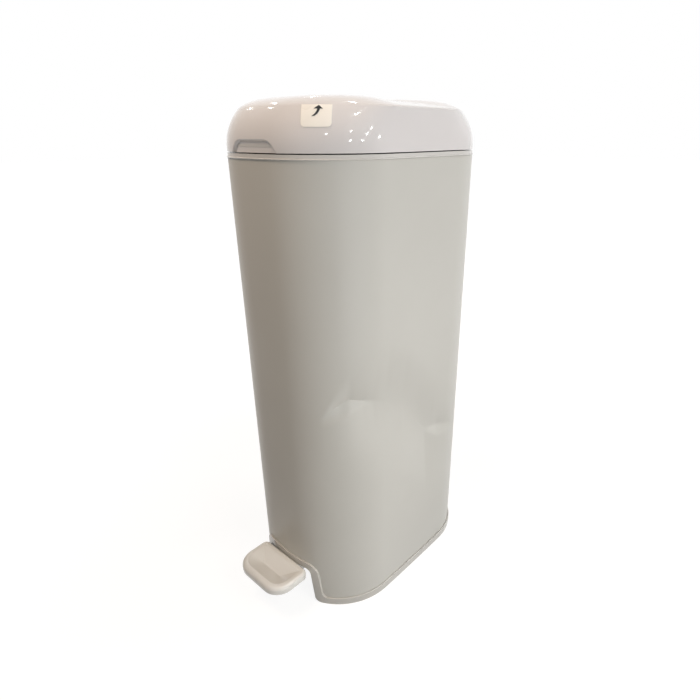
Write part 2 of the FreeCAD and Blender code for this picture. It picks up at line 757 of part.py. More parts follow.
cutter_slot = box("cutter_slot", -cutter_slot_half, cutter_slot_half,
                  -s.cutter_forward - slot_reach, -s.cutter_forward + slot_reach,
                  deck_bottom - s.overrun, deck_top + s.overrun)
frame_bore = rod("frame_bore", "x", s.hinge_pin_radius + s.running, -s.ear_half, hinge_y, hinge_z,
                 s.ear_half * 2)
frame_whole = fuse("frame_whole", [frame_deck, frame_lip, frame_arms, frame_knuckles])
kept(cut("top_frame", frame_whole,
         [knuckle_gap, well_mouth, rod_window, crank_slot, lip_gap, cutter_slot, frame_bore]),
     "top_frame")

# ---------------------------------------------------------------- clamp tray, cassette, jaws

well_floor = deck_bottom - s.well_depth
flange_half = s.well_half + s.flange_width
flange_end = s.well_length_half + s.flange_width
tray_flange = upright("tray_flange", rectangle(flange_half, -flange_end, flange_end,
                                               s.flange_corner),
                      deck_bottom - s.tray_wall, s.tray_wall)
well_block = upright("well_block", rectangle(s.well_half, -s.well_length_half,
                                             s.well_length_half, s.well_corner),
                     well_floor, s.well_depth)
well_room_half = s.well_half - s.tray_wall
well_room_end = s.well_length_half - s.tray_wall
well_cavity = upright("well_cavity", rectangle(well_room_half, -well_room_end, well_room_end,
                                               s.well_corner - s.tray_wall),
                      well_floor + s.tray_wall, s.well_depth)
collar_half = s.throat_half + s.collar_wall
collar_length_half = s.throat_length_half + s.collar_wall
collar_corner = s.throat_corner + s.collar_wall
collar = upright("collar", rectangle(collar_half, -collar_length_half, collar_length_half,
                                     collar_corner),
                 well_floor, deck_top - s.collar_drop - well_floor)
throat = upright("throat", rectangle(s.throat_half, -s.throat_length_half,
                                     s.throat_length_half, s.throat_corner),
                 well_floor - s.overrun, s.well_depth + s.overrun * 2)
jaw_z = well_floor - s.jaw_drop
jaw_end = s.throat_length_half + s.jaw_overlap
jaw_pin_half = jaw_end + s.lug_set + s.lug_thick / 2 + s.fine_gap
lugs = []
for side in (-1, 1):
    for end in (-1, 1):
        lug_y = (jaw_end + s.lug_set) * end
        lugs.append(box(f"lug_{side}_{end}", s.jaw_axis_half * side - s.lug_half,
                        s.jaw_axis_half * side + s.lug_half, lug_y - s.lug_thick / 2,
                        lug_y + s.lug_thick / 2, jaw_z - s.lug_half, well_floor + s.overrun))
jaw_bores = [rod(f"jaw_bore_{side}", "y", s.jaw_pin_radius + s.running, s.jaw_axis_half * side,
                 -jaw_pin_half - s.overrun, jaw_z, (jaw_pin_half + s.overrun) * 2)
             for side in (-1, 1)]
tray_shell = cut("tray_shell", fuse("tray_solid", [tray_flange, well_block]), [well_cavity])
kept(cut("clamp_tray", fuse("tray_whole", [tray_shell, collar] + lugs), [throat] + jaw_bores),
     "clamp_tray")

cassette_half = well_room_half - s.loose
cassette_end = well_room_end - s.loose
ring_half = collar_half + s.loose
ring_end = collar_length_half + s.loose
ring_corner = collar_corner + s.loose
cassette_bottom = well_floor + s.tray_wall
cassette_block = upright("cassette_block",
                         rectangle(cassette_half, -cassette_end, cassette_end, s.cassette_corner),
                         cassette_bottom, s.cassette_height,
                         hollow=rectangle(ring_half, -ring_end, ring_end, ring_corner))
pleat_groove = upright("pleat_groove",
                       rectangle(cassette_half - s.pleat_wall, -cassette_end + s.pleat_wall,
                                 cassette_end - s.pleat_wall, s.cassette_corner - s.pleat_wall),
                       cassette_bottom + s.cassette_height - s.pleat_depth,
                       s.pleat_depth + s.overrun,
                       hollow=rectangle(ring_half + s.pleat_wall, -ring_end - s.pleat_wall,
                                        ring_end + s.pleat_wall, ring_corner + s.pleat_wall))
kept(cut("film_cassette", cassette_block, [pleat_groove]), "film_cassette")

flap_end = jaw_end - s.jaw_end_gap
tube_end = jaw_end - s.fine_gap
for side, name in ((-1, "left"), (1, "right")):
    axis_x = s.jaw_axis_half * side
    plate_near = (s.fine_gap + s.lip_thick) * side
    low, high = (plate_near, axis_x) if side > 0 else (axis_x, plate_near)
    flap = box(f"jaw_flap_{name}", low, high, -flap_end, flap_end,
               jaw_z - s.jaw_thick / 2, jaw_z + s.jaw_thick / 2)
    tube = rod(f"jaw_tube_{name}", "y", s.jaw_knuckle, axis_x, -tube_end, jaw_z, tube_end * 2)
    bore = rod(f"jaw_tube_bore_{name}", "y", s.jaw_pin_radius + s.running, axis_x,
               -jaw_end - s.overrun, jaw_z, (jaw_end + s.overrun) * 2)
    kept(cut(f"jaw_{name}", fuse(f"jaw_whole_{name}", [flap, tube]), [bore]), f"jaw_{name}")
    lip_low, lip_high = (s.fine_gap, plate_near) if side > 0 else (plate_near, -s.fine_gap)
    kept(box(f"jaw_lip_{name}", lip_low, lip_high, -flap_end, flap_end,
             jaw_z - s.lip_height / 2, jaw_z + s.lip_height / 2), f"jaw_lip_{name}")
    kept(rod(f"jaw_pin_{name}", "y", s.jaw_pin_radius, axis_x, -jaw_pin_half, jaw_z,
             jaw_pin_half * 2), f"jaw_pin_{name}")

cutter_x = -s.cutter_offset
keeper_bottom = deck_bottom - s.keeper_drop
knob = box("cutter_knob", cutter_x - s.knob_half, cutter_x + s.knob_half,
           -s.cutter_forward - s.knob_depth / 2, -s.cutter_forward + s.knob_depth / 2,
           deck_top + s.fine_gap, deck_top + s.fine_gap + s.knob_height)
stem = box("cutter_stem", cutter_x - s.stem_half, cutter_x + s.stem_half,
           -s.cutter_forward - s.stem_thick / 2, -s.cutter_forward + s.stem_thick / 2,
           keeper_bottom, deck_top + s.overrun)
keeper = box("cutter_keeper", cutter_x - s.keeper_half, cutter_x + s.keeper_half,
             -s.cutter_forward - s.keeper_depth / 2, -s.cutter_forward + s.keeper_depth / 2,
             keeper_bottom, deck_bottom - s.fine_gap)
kept(fuse("film_cutter", [knob, stem, keeper]), "film_cutter")
kept(box("cutter_blade", cutter_x - s.blade_half, cutter_x + s.blade_half,
         -s.cutter_forward - s.blade_thick / 2, -s.cutter_forward + s.blade_thick / 2,
         keeper_bottom - s.blade_length, keeper_bottom), "cutter_blade")

# ---------------------------------------------------------------- lid

def lid_form(label, inset, steps, ruled=False):
    """The lid's outer form drawn in by an inset: ends rounded to an ellipse, roof crowned."""
    body = new_body(label)
    inset = as_size(inset)
    wall_bottom = lid_bottom - inset
    wall_top = s.seam_height + s.end_start
    wall_sketch = new_sketch(body, "XY_Plane", wall_bottom)
    draw_body_outline(wall_sketch, inset)
    pad(body, wall_sketch, wall_top - wall_bottom)
    sections = []
    for step in range(steps + 1):
        part = math.sin(math.pi / 2 * step / steps)
        half_length = s.half_length - inset - s.end_run * (1 - math.sqrt(1 - part ** 2))
        corner = (s.corner_radius - inset).at_most(half_length - s.end_flat)
        sketch = new_sketch(body, "XY_Plane", wall_top + (s.end_rise - inset) * part)
        draw_outline(sketch, s.half_width - inset, half_length, s.side_radius - inset,
                     s.end_radius - inset, corner)
        sections.append(sketch)
    loft = body.newObject("PartDesign::AdditiveLoft", label + "_loft")
    loft.Profile = sections[0]
    loft.Sections = sections[1:]
    loft.Ruled = ruled
    doc.recompute()
    crown = s.ridge_rise - s.crease_rise
    ridge_z = s.seam_height + s.ridge_rise - inset
    crown_radius = Size((s.half_width.value ** 2 + crown.value ** 2) / (2 * crown.value),
                        f"(({s.half_width.formula} ^ 2 + {crown.formula} ^ 2) / (2 * {crown.formula}))")
    roof = new_sketch(body, "XZ_Plane")
    reach = far_side.value
    centre = FreeCAD.Vector(0, ridge_z.value - crown_radius.value, 0)
    half_angle = math.asin(reach / crown_radius.value)
    circle = Part.Circle(centre, FreeCAD.Vector(0, 0, 1), crown_radius.value)
    arc_geometry = Part.ArcOfCircle(circle, math.pi / 2 - half_angle, math.pi / 2 + half_angle)
    right, left = arc_geometry.StartPoint, arc_geometry.EndPoint
    above = (ridge_z + s.beyond * 2).value
    arc = roof.addGeometry(arc_geometry)
    up_left = roof.addGeometry(Part.LineSegment(left, FreeCAD.Vector(-reach, above, 0)))
    across = roof.addGeometry(Part.LineSegment(FreeCAD.Vector(-reach, above, 0),
                                               FreeCAD.Vector(reach, above, 0)))
    down_right = roof.addGeometry(Part.LineSegment(FreeCAD.Vector(reach, above, 0), right))
    for first, last in ((arc, up_left), (up_left, across), (across, down_right), (down_right, arc)):
        roof.addConstraint(Sketcher.Constraint("Coincident", first, 2, last, 1))
    roof.addConstraint(Sketcher.Constraint("Vertical", up_left))
    roof.addConstraint(Sketcher.Constraint("Vertical", down_right))
    fix_radius(roof, arc, crown_radius)
    pin_down(roof, arc, 3, ZERO, ridge_z - crown_radius)
    pin_down(roof, across, 1, -far_side, ridge_z + s.beyond * 2)
    pin_down(roof, across, 2, far_side, ridge_z + s.beyond * 2)
    trim = body.newObject("PartDesign::Pocket", label + "_roof")
    trim.Profile = roof
    trim.SideType = "Symmetric"
    bind(trim, "Length", far_front * 2)
    body.Tip = trim
    return body


lid_outer = lid_form("lid_outer", 0, 6)
lid_core = lid_form("lid_core", s.lid_wall, 4, ruled=True)
recess_bottom = lid_bottom - s.overrun
recess_top = s.seam_height + s.recess_rise
recess_skin = slab("recess_skin", -s.lid_wall, recess_bottom, s.recess_rise + s.overrun * 4,
                   hollow=s.recess_depth)
recess_view = front_prism("recess_view", [
    (s.recess_floor_half, recess_bottom),
    (s.recess_top_half, recess_top, s.recess_corner),
    (-s.recess_top_half, recess_top, s.recess_corner),
    (-s.recess_floor_half, recess_bottom)], far_front)
recess = common("recess", recess_skin, recess_view)
pan_bottom = s.seam_height + s.pan_rise
arm_top = pan_bottom - s.seat
arm_bottom = arm_top - s.arm_thick
arm_window_half = s.lid_knuckle_half + s.side_play
arm_window = box("arm_window", -arm_window_half, arm_window_half, nose_y, far_front,
                 recess_bottom, pan_bottom + s.side_play)
kept(cut("lid_shell", cut("lid_hollow", lid_outer, [lid_core]), [recess, arm_window]), "lid_shell")

pan_inset = s.lid_wall + s.seat
pan_top = pan_bottom + s.pan_thick
pan_plate = slab("pan_plate", pan_inset, pan_bottom, s.pan_thick)
door_axis_y = s.filter_back + s.door_pin_set
door_axis_z = pan_bottom - s.door_pin_drop
door_ear_inner = s.filter_half - s.door_ear_inset
door_ears = []
for side in (-1, 1):
    ear_x = (door_ear_inner + s.door_ear_thick / 2) * side
    door_ears.append(box(f"door_ear_{side}", ear_x - s.door_ear_thick / 2,
                         ear_x + s.door_ear_thick / 2, door_axis_y - s.door_ear_half,
                         door_axis_y + s.door_ear_half, door_axis_z - s.door_ear_half,
                         pan_bottom + s.overrun))
room_half = s.filter_half + s.loose
room_front, room_back = -s.filter_front - s.loose, s.filter_back + s.loose
room_corner = s.filter_corner + s.side_play
filter_mouth = upright("filter_mouth", rectangle(room_half, room_front, room_back, room_corner),
                       pan_bottom - s.overrun, s.pan_thick + s.overrun * 2)
door_bore = rod("door_bore", "x", s.door_pin_radius + s.running, -s.filter_half, door_axis_y,
                door_axis_z, s.filter_half * 2)
arm_front = nose_y - s.arm_lead
kept(cut("lid_pan", fuse("pan_whole", [pan_plate] + door_ears), [filter_mouth, door_bore]),
     "lid_pan")

arm_plate = box("arm_plate", -s.lid_knuckle_half, s.lid_knuckle_half, arm_front, hinge_y,
                arm_bottom, arm_top)
arm_knuckle = rod("arm_knuckle", "x", s.knuckle_radius, -s.lid_knuckle_half, hinge_y, hinge_z,
                  s.lid_knuckle_half * 2)
crank_web = side_prism("crank_web", [
    (hinge_y, hinge_z + s.nose_radius), (nose_y, nose_z + s.nose_radius * 0.9),
    (nose_y, nose_z - s.crank_web * 1.25), (hinge_y, hinge_z - s.crank_web * 1.5)], s.crank_half)
crank_nose = rod("crank_nose", "x", s.nose_radius, -s.crank_half, nose_y, nose_z, s.crank_half * 2)
arm_bore = rod("arm_bore", "x", s.hinge_pin_radius + s.running, -s.lid_knuckle_half - s.overrun,
               hinge_y, hinge_z, (s.lid_knuckle_half + s.overrun) * 2)
kept(cut("lid_arm", fuse("arm_whole", [arm_plate, arm_knuckle, crank_web, crank_nose]),
         [arm_bore]), "lid_arm")

gasket_half = s.half_width - s.gasket_inset
gasket_end = s.half_length - s.gasket_end_inset
gasket_corner = s.corner_radius - s.gasket_end_inset
gasket_outer = rectangle(gasket_half, -gasket_end, gasket_end, gasket_corner)
gasket_inner = rectangle(gasket_half - s.gasket_width, -gasket_end + s.gasket_width,
                         gasket_end - s.gasket_width, gasket_corner - s.gasket_width)
kept(upright("lid_gasket", gasket_outer, deck_top + s.fine_gap, pan_bottom - deck_top - s.fine_gap,
             hollow=gasket_inner), "lid_gasket")

room_height = s.filter_height - s.pan_thick
housing_block = upright("housing_block",
                        rectangle(room_half + s.housing_wall, room_front - s.housing_wall,
                                  room_back + s.housing_wall, room_corner + s.housing_wall),
                        pan_top, room_height + s.housing_wall)
housing_room = upright("housing_room", rectangle(room_half, room_front, room_back, room_corner),
                       pan_top - s.overrun, room_height + s.overrun)
kept(cut("filter_housing", housing_block, [housing_room]), "filter_housing")
kept(upright("carbon_filter", rectangle(s.filter_half, -s.filter_front, s.filter_back,
                                        s.filter_corner),
             pan_bottom, s.filter_height), "carbon_filter")

door_top = pan_bottom - s.fine_gap
door_plate = upright("door_plate", rectangle(s.filter_half + s.door_lap,
                                             -s.filter_front - s.door_lap, s.filter_back,
                                             s.door_corner),
                     door_top - s.door_thick, s.door_thick)
door_knuckle_half = door_ear_inner - s.side_play
door_knuckle = rod("door_knuckle", "x", s.door_knuckle_radius, -door_knuckle_half, door_axis_y,
                   door_axis_z, door_knuckle_half * 2)
door_neck = box("door_neck", -door_knuckle_half, door_knuckle_half,
                s.filter_back - s.door_ear_half, door_axis_y, door_axis_z - s.door_pin_radius,
                door_top - s.fine_gap)
vent_half = s.filter_half - s.vent_margin
vents = []
for number in range(5):
    vent_y = -s.filter_front + s.vent_first + s.vent_pitch * number
    vents.append(box(f"vent{number}", -vent_half, vent_half, vent_y, vent_y + s.vent_width,
                     door_top - s.door_thick - s.overrun, door_top + s.overrun))
door_tube_bore = rod("door_tube_bore", "x", s.door_pin_radius + s.running, -s.filter_half,
                     door_axis_y, door_axis_z, s.filter_half * 2)
kept(cut("filter_door", fuse("door_whole", [door_plate, door_knuckle, door_neck]),
         vents + [door_tube_bore]), "filter_door")
pin_half = door_ear_inner + s.door_ear_thick
kept(rod("filter_pin", "x", s.door_pin_radius, -pin_half, door_axis_y, door_axis_z,
         pin_half * 2), "filter_pin")

label_back = lid_form("label_back", -s.seat, 6)
label_front = lid_form("label_front", -s.seat - s.label_thick, 6)
corner_x, corner_y = corner_centre(s.half_width.value, s.half_length.value, s.side_radius.value,
                                   s.end_radius.value, s.corner_radius.value)
label_facing = -49.0
label_turn = FreeCAD.Rotation(FreeCAD.Vector(0, 0, 1), label_facing)
label_area = doc.addObject("Part::Box", "label_area")
bind(label_area, "Length", s.corner_radius)
bind(label_area, "Width", s.label_width)
bind(label_area, "Height", s.label_drop)
label_start = label_turn.multVec(FreeCAD.Vector(s.corner_radius.value / 2,
                                                -s.label_width.value / 2, 0))
place(label_area, as_size(corner_x + label_start.x), as_size(-corner_y + label_start.y),
      s.seam_height + s.crease_rise - s.label_drop, label_turn)
kept(common("lid_label", cut("label_skin", label_front, [label_back]), label_area), "lid_label")

# ---------------------------------------------------------------- bucket and bail

bucket_bottom = shelf_top + s.fine_gap
bucket_top = bucket_bottom + s.bucket_height
bucket_half = s.half_width - s.bucket_side_gap
bucket_end = s.half_length - s.bucket_end_gap


def bucket_plan(grow):
    """Plan path of the bucket's mouth, grown outwards evenly."""
    return rectangle(bucket_half + grow, -s.bucket_forward - bucket_end - grow,
                     -s.bucket_forward + bucket_end + grow, s.bucket_corner + grow)


def bucket_form(label, wall, bottom, top):
    """A tapered tub: the plan path, smaller at the bottom."""
    body = new_body(label)
    sections = []
    for level, taper in ((bottom, s.bucket_taper), (top, ZERO)):
        sketch = new_sketch(body, "XY_Plane", level)
        draw_path(sketch, bucket_plan(-taper - wall))
        sections.append(sketch)
    loft = body.newObject("PartDesign::AdditiveLoft", label + "_loft")
    loft.Profile = sections[0]
    loft.Sections = sections[1:]
    loft.Ruled = True
    return body


bucket_outer = bucket_form("bucket_outer", 0, bucket_bottom, bucket_top)
bucket_inner = bucket_form("bucket_inner", s.bucket_wall, bucket_bottom + s.bucket_wall,
                           bucket_top + s.overrun)
rim_flange = upright("rim_flange", bucket_plan(s.bucket_rim), bucket_top - s.bucket_wall * 1.5,
                     s.bucket_wall * 1.5)
bail_z = bucket_top + s.bail_radius + s.side_play
bail_half = bucket_half + s.bucket_rim + s.side_play + s.bail_radius
bail_ears = []
for side in (-1, 1):
    ear_x = (bucket_half + s.bail_ear_thick / 2) * side
    bail_ears.append(box(f"bail_ear_{side}", ear_x - s.bail_ear_thick / 2,
                         ear_x + s.bail_ear_thick / 2, -s.bucket_forward - s.bail_ear_half,
                         -s.bucket_forward + s.bail_ear_half, bucket_top - s.bail_ear_root,
                         bail_z + s.bail_ear_rise))
bail_bore = rod("bail_bore", "x", s.bail_radius + s.running, -far_side, -s.bucket_forward, bail_z,
                far_side * 2)
kept(cut("inner_bucket", fuse("bucket_whole", [bucket_outer, rim_flange] + bail_ears),
         [bucket_inner, bail_bore]), "inner_bucket")

bail_pivot_y = -s.bucket_forward
bail_front = bail_pivot_y - s.bail_reach
strap_in = bail_half - s.bail_radius
strap_out = bail_half + s.bail_radius
strap_back = bail_pivot_y + s.bail_radius * 2
strap = upright("bail_strap", [
    (strap_out, strap_back, s.bail_radius * 0.9),
    (strap_in, strap_back, s.bail_radius * 0.9),
    (strap_in, bail_front + s.bail_radius, s.bail_corner - s.bail_radius),
    (-strap_in, bail_front + s.bail_radius, s.bail_corner - s.bail_radius),
    (-strap_in, strap_back, s.bail_radius * 0.9),
    (-strap_out, strap_back, s.bail_radius * 0.9),
    (-strap_out, bail_front - s.bail_radius, s.bail_corner + s.bail_radius),
    (strap_out, bail_front - s.bail_radius, s.bail_corner + s.bail_radius),
], bail_z - s.bail_radius, s.bail_radius * 2)
stub_length = s.bucket_rim + s.side_play + s.bail_radius + s.overrun
bail_stubs = [
    rod("bail_stub_left", "x", s.bail_radius, -bail_half, bail_pivot_y, bail_z, stub_length),
    rod("bail_stub_right", "x", s.bail_radius, bail_half - stub_length, bail_pivot_y, bail_z,
        stub_length)]
kept(fuse("bucket_handle", [strap] + bail_stubs), "bucket_handle")
bar_room = s.bail_radius + s.running
grip_outer = rod("grip_outer", "x", s.grip_radius, -s.grip_half, bail_front, bail_z,
                 s.grip_half * 2)
grip_room = box("grip_room", -s.grip_half - s.overrun, s.grip_half + s.overrun,
                bail_front - bar_room, bail_front + bar_room, bail_z - bar_room,
                bail_z + bar_room)
kept(cut("handle_grip", grip_outer, [grip_room]), "handle_grip")

# ---------------------------------------------------------------- check and write

doc.recompute()
for obj in doc.Objects:
    if "Invalid" in obj.State or "Error" in obj.State:
        raise RuntimeError(f"{obj.Label} did not compute: {obj.State}")
for piece in pieces:
    shape = piece.Shape
    if shape.isNull() or not shape.isValid() or not shape.Solids:
        raise RuntimeError(f"{piece.Label} has no valid solid")
    shape.exportStep(f"parts/{piece.Label}.step")
print(f"{len(pieces)} pieces written")
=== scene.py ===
import math

import bpy
from mathutils import Matrix, Vector


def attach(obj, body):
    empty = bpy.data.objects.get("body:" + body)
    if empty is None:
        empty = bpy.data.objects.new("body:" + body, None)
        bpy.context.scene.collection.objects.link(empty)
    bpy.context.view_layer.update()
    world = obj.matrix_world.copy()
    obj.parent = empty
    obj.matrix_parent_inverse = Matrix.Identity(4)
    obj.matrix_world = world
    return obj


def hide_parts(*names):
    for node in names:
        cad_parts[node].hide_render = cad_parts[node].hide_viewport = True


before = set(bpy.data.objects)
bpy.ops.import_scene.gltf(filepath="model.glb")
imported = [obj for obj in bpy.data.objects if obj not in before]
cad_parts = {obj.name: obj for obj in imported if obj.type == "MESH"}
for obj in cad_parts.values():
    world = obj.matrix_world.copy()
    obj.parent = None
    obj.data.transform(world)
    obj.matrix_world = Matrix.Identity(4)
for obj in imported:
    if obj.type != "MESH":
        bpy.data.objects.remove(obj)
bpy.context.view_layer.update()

# ------------------------------------------------------------------ viewpoint
# The pail is looked at from its right front corner, a little from above and
# from arm's length, so the sides draw together strongly towards the floor.

AZIMUTH = math.radians(41.577)
ELEVATION = math.radians(23.761)
ROLL = math.radians(-0.0903)
toward = Vector((math.sin(AZIMUTH) * math.cos(ELEVATION),
                 -math.cos(AZIMUTH) * math.cos(ELEVATION), math.sin(ELEVATION)))
level = Vector((math.cos(AZIMUTH), math.sin(AZIMUTH), 0))
upward = toward.cross(level)
right = level * math.cos(ROLL) + upward * math.sin(ROLL)
above = upward * math.cos(ROLL) - level * math.sin(ROLL)
eye = Vector((0.46670, -0.49250, 0.61693))

camera_data = bpy.data.cameras.new("viewpoint")
camera_data.lens = 26.055
camera_data.sensor_width = 36
camera_data.shift_x = -0.0370
camera_data.shift_y = 0.0116
camera_data.clip_start = 0.01
camera = bpy.data.objects.new("viewpoint", camera_data)
camera.matrix_world = Matrix.Translation(eye) @ Matrix((right, above, toward)).transposed().to_4x4()
bpy.context.scene.collection.objects.link(camera)
bpy.context.scene.camera = camera
bpy.context.scene.view_settings.view_transform = "Standard"

# ------------------------------------------------------------------ floor and light
# A pale matt floor in a pale room, with four wide soft lamps round the pail. The
# small ceiling lamps show only in reflections, as the glints on glossy plastic.

FLOOR_SIZE = 30
FADE_NEAR, FADE_FAR = 0.25, 1.1
GLOW_NEAR, GLOW_FAR = 0.90, 1.02


def shown_directly(nodes, links):
    """A socket that is one for what is seen outright, in a reflection or through glass."""
    path = nodes.new("ShaderNodeLightPath")
    either, shown = nodes.new("ShaderNodeMath"), nodes.new("ShaderNodeMath")
    either.operation = shown.operation = "MAXIMUM"
    links.new(path.outputs["Is Camera Ray"], either.inputs[0])
    links.new(path.outputs["Is Glossy Ray"], either.inputs[1])
    links.new(either.outputs["Value"], shown.inputs[0])
    links.new(path.outputs["Is Transmission Ray"], shown.inputs[1])
    return shown.outputs["Value"]


def lit_or_shown(nodes, links, lit, shown):
    """A socket that lights the pail by one shader and is itself seen by another."""
    mix = nodes.new("ShaderNodeMixShader")
    links.new(shown_directly(nodes, links), mix.inputs["Fac"])
    links.new(lit, mix.inputs[1])
    links.new(shown, mix.inputs[2])
    return mix.outputs["Shader"]


bpy.ops.object.select_all(action="DESELECT")
bpy.ops.mesh.primitive_plane_add(size=FLOOR_SIZE, location=(0, 0, 0))
floor = bpy.context.object
floor.name = "floor"
floor_finish = bpy.data.materials.new("pale_floor")
floor_finish.use_nodes = True
nodes, links = floor_finish.node_tree.nodes, floor_finish.node_tree.links
nodes.remove(nodes["Principled BSDF"])
matt = nodes.new("ShaderNodeBsdfDiffuse")
matt.inputs["Color"].default_value = (0.20, 0.19, 0.17, 1)
floor_place = nodes.new("ShaderNodeTexCoord")
distance = nodes.new("ShaderNodeVectorMath")
distance.operation = "LENGTH"
links.new(floor_place.outputs["Object"], distance.inputs[0])
fade = nodes.new("ShaderNodeMapRange")
fade.interpolation_type = "SMOOTHSTEP"
for socket, value in (("From Min", FADE_NEAR), ("From Max", FADE_FAR),
                      ("To Min", GLOW_NEAR), ("To Max", GLOW_FAR)):
    fade.inputs[socket].default_value = value
links.new(distance.outputs["Value"], fade.inputs["Value"])
glow = nodes.new("ShaderNodeEmission")
links.new(fade.outputs["Result"], glow.inputs["Strength"])
glowing = nodes.new("ShaderNodeAddShader")
links.new(matt.outputs["BSDF"], glowing.inputs[0])
links.new(glow.outputs["Emission"], glowing.inputs[1])
links.new(lit_or_shown(nodes, links, matt.outputs["BSDF"], glowing.outputs["Shader"]),
          nodes["Material Output"].inputs["Surface"])
floor.data.materials.append(floor_finish)

room = bpy.data.worlds.new("pale_room")
bpy.context.scene.world = room
room.use_nodes = True
nodes, links = room.node_tree.nodes, room.node_tree.links
dim = nodes["Background"]
dim.inputs["Color"].default_value = (0.05, 0.05, 0.05, 1)
bright = nodes.new("ShaderNodeBackground")
bright.inputs["Color"].default_value = (1, 1, 1, 1)
links.new(lit_or_shown(nodes, links, dim.outputs["Background"], bright.outputs["Background"]),
          nodes["World Output"].inputs["Surface"])


def hang_lamp(name, place, aim, power, tint=(1, 1, 1)):
    """A lamp at a place, turned to face the point it lights, and never seen itself."""
    lamp = bpy.data.lights.new(name, "AREA")
    lamp.energy = power
    lamp.color = tint
    holder = bpy.data.objects.new(name, lamp)
    holder.location = place
    holder.rotation_euler = (Vector(aim) - Vector(place)).to_track_quat("-Z", "Y").to_euler()
    holder.visible_camera = False
    bpy.context.scene.collection.objects.link(holder)
    return lamp, holder


def soft_lamp(name, place, aim, width, height, power, tint=(1, 1, 1)):
    """A wide lamp that lights matt surfaces and makes no highlight."""
    lamp, holder = hang_lamp(name, place, aim, power, tint)
    lamp.shape = "RECTANGLE"
    lamp.size, lamp.size_y = width, height
    holder.visible_glossy = False


def glint_lamp(name, place, aim, across, power):
    """A small round lamp that shows only as a glint."""
    lamp, holder = hang_lamp(name, place, aim, power)
    lamp.shape = "DISK"
    lamp.size = across
    holder.visible_diffuse = False


soft_lamp("side_lamp", (1.69, 0.0, 1.71), (0, 0, 0.3), 1.0, 1.0, 13)
soft_lamp("low_lamp", (1.05, -0.30, 0.25), (0, 0, 0.35), 0.7, 0.5, 5.6)
soft_lamp("rear_lamp", (0.84, 1.46, 1.71), (0, 0, 0.4), 1.0, 1.0, 18)
soft_lamp("front_lamp", (-0.28, -0.62, 1.55), (0, 0, 0.4), 0.5, 0.5, 9.5, (1.0, 0.82, 0.66))

# The ceiling lamps lie on a sphere about a point on the lid, each in its own direction.
CEILING_CENTRE, CEILING_REACH, CEILING_AIM = Vector((0.08, -0.08, 0.62)), 2.4, (0, 0, 0.6)
RIGHT_LAMPS = [(0.62, -0.62, 0.49), (0.82, -0.13, 0.55), (0.49, 0.08, 0.87),
               (0.85, 0.28, 0.45), (0.91, 0.20, 0.37), (0.94, -0.21, 0.27),
               (0.97, 0.08, 0.22), (0.85, 0.50, 0.19)]
LEFT_LAMPS = [(-0.75, -0.09, 0.65), (-0.85, 0.02, 0.53), (-0.77, 0.28, 0.57),
              (-0.70, 0.57, 0.43), (-0.32, 0.48, 0.82)]
RIGHT_ACROSS, RIGHT_POWER = 0.09, 1.0
LEFT_ACROSS, LEFT_POWER = 0.05, 0.35

hung = 0
for directions, across, power in ((RIGHT_LAMPS, RIGHT_ACROSS, RIGHT_POWER),
                                  (LEFT_LAMPS, LEFT_ACROSS, LEFT_POWER)):
    for direction in directions:
        hung += 1
        glint_lamp(f"ceiling_lamp_{hung}", CEILING_CENTRE + CEILING_REACH * Vector(direction),
                   CEILING_AIM, across, power)

# ------------------------------------------------------------------ steel body
# One sheet of thin steel, rolled to a flat oval and seamed at the rear, in a
# warm pearl paint. A knock has folded it in at the right front corner, and the
# wall is buckled from there to a second fold near the rear of the right side.

HALF_WIDTH, HALF_LENGTH = 0.108, 0.1587
SIDE_RADIUS, END_RADIUS, CORNER_RADIUS = 4.540, 0.285, 0.0907
WRAP_BOTTOM, WRAP_TOP = 0.003, 0.5942
STEEL_THICK = 0.001
NOTCH_HALF, NOTCH_TOP, NOTCH_BACK = 0.0475, 0.0585, -0.1
SLOT_HALF, SLOT_LOW, SLOT_FRONT = 0.004, 0.5756, 0.1424
BEYOND_WALL = 0.2
DENT_LOW, FOLD_ROW, DENT_HIGH = 0.100, 0.300, 0.450
# How close counts as the same height.
HAIR = 0.00001


def corner_centre():
    """Centre of the corner arc, which lies inside and touches both the side and the end arc."""
    side = Vector((HALF_WIDTH - SIDE_RADIUS, 0))
    end = Vector((0, HALF_LENGTH - END_RADIUS))
    to_side, to_end = SIDE_RADIUS - CORNER_RADIUS, END_RADIUS - CORNER_RADIUS
    gap = (end - side).length
    along = (end - side) / gap
    run = (to_side ** 2 - to_end ** 2 + gap ** 2) / (2 * gap)
    rise = math.sqrt(to_side ** 2 - run ** 2)
    return side + along * run + Vector((-along.y, along.x)) * rise


CORNER = corner_centre()


def pick(piece):
    """Leave edit mode, and select one piece alone."""
    bpy.ops.object.mode_set(mode="OBJECT")
    bpy.ops.object.select_all(action="DESELECT")
    bpy.context.view_layer.objects.active = piece
    piece.select_set(True)


def apply(piece, kind, **settings):
    """Add a modifier to a piece, set it, and apply it."""
    pick(piece)
    modifier = piece.modifiers.new(kind.lower(), kind)
    for name, value in settings.items():
        setattr(modifier, name, value)
    bpy.ops.object.modifier_apply(modifier=modifier.name)


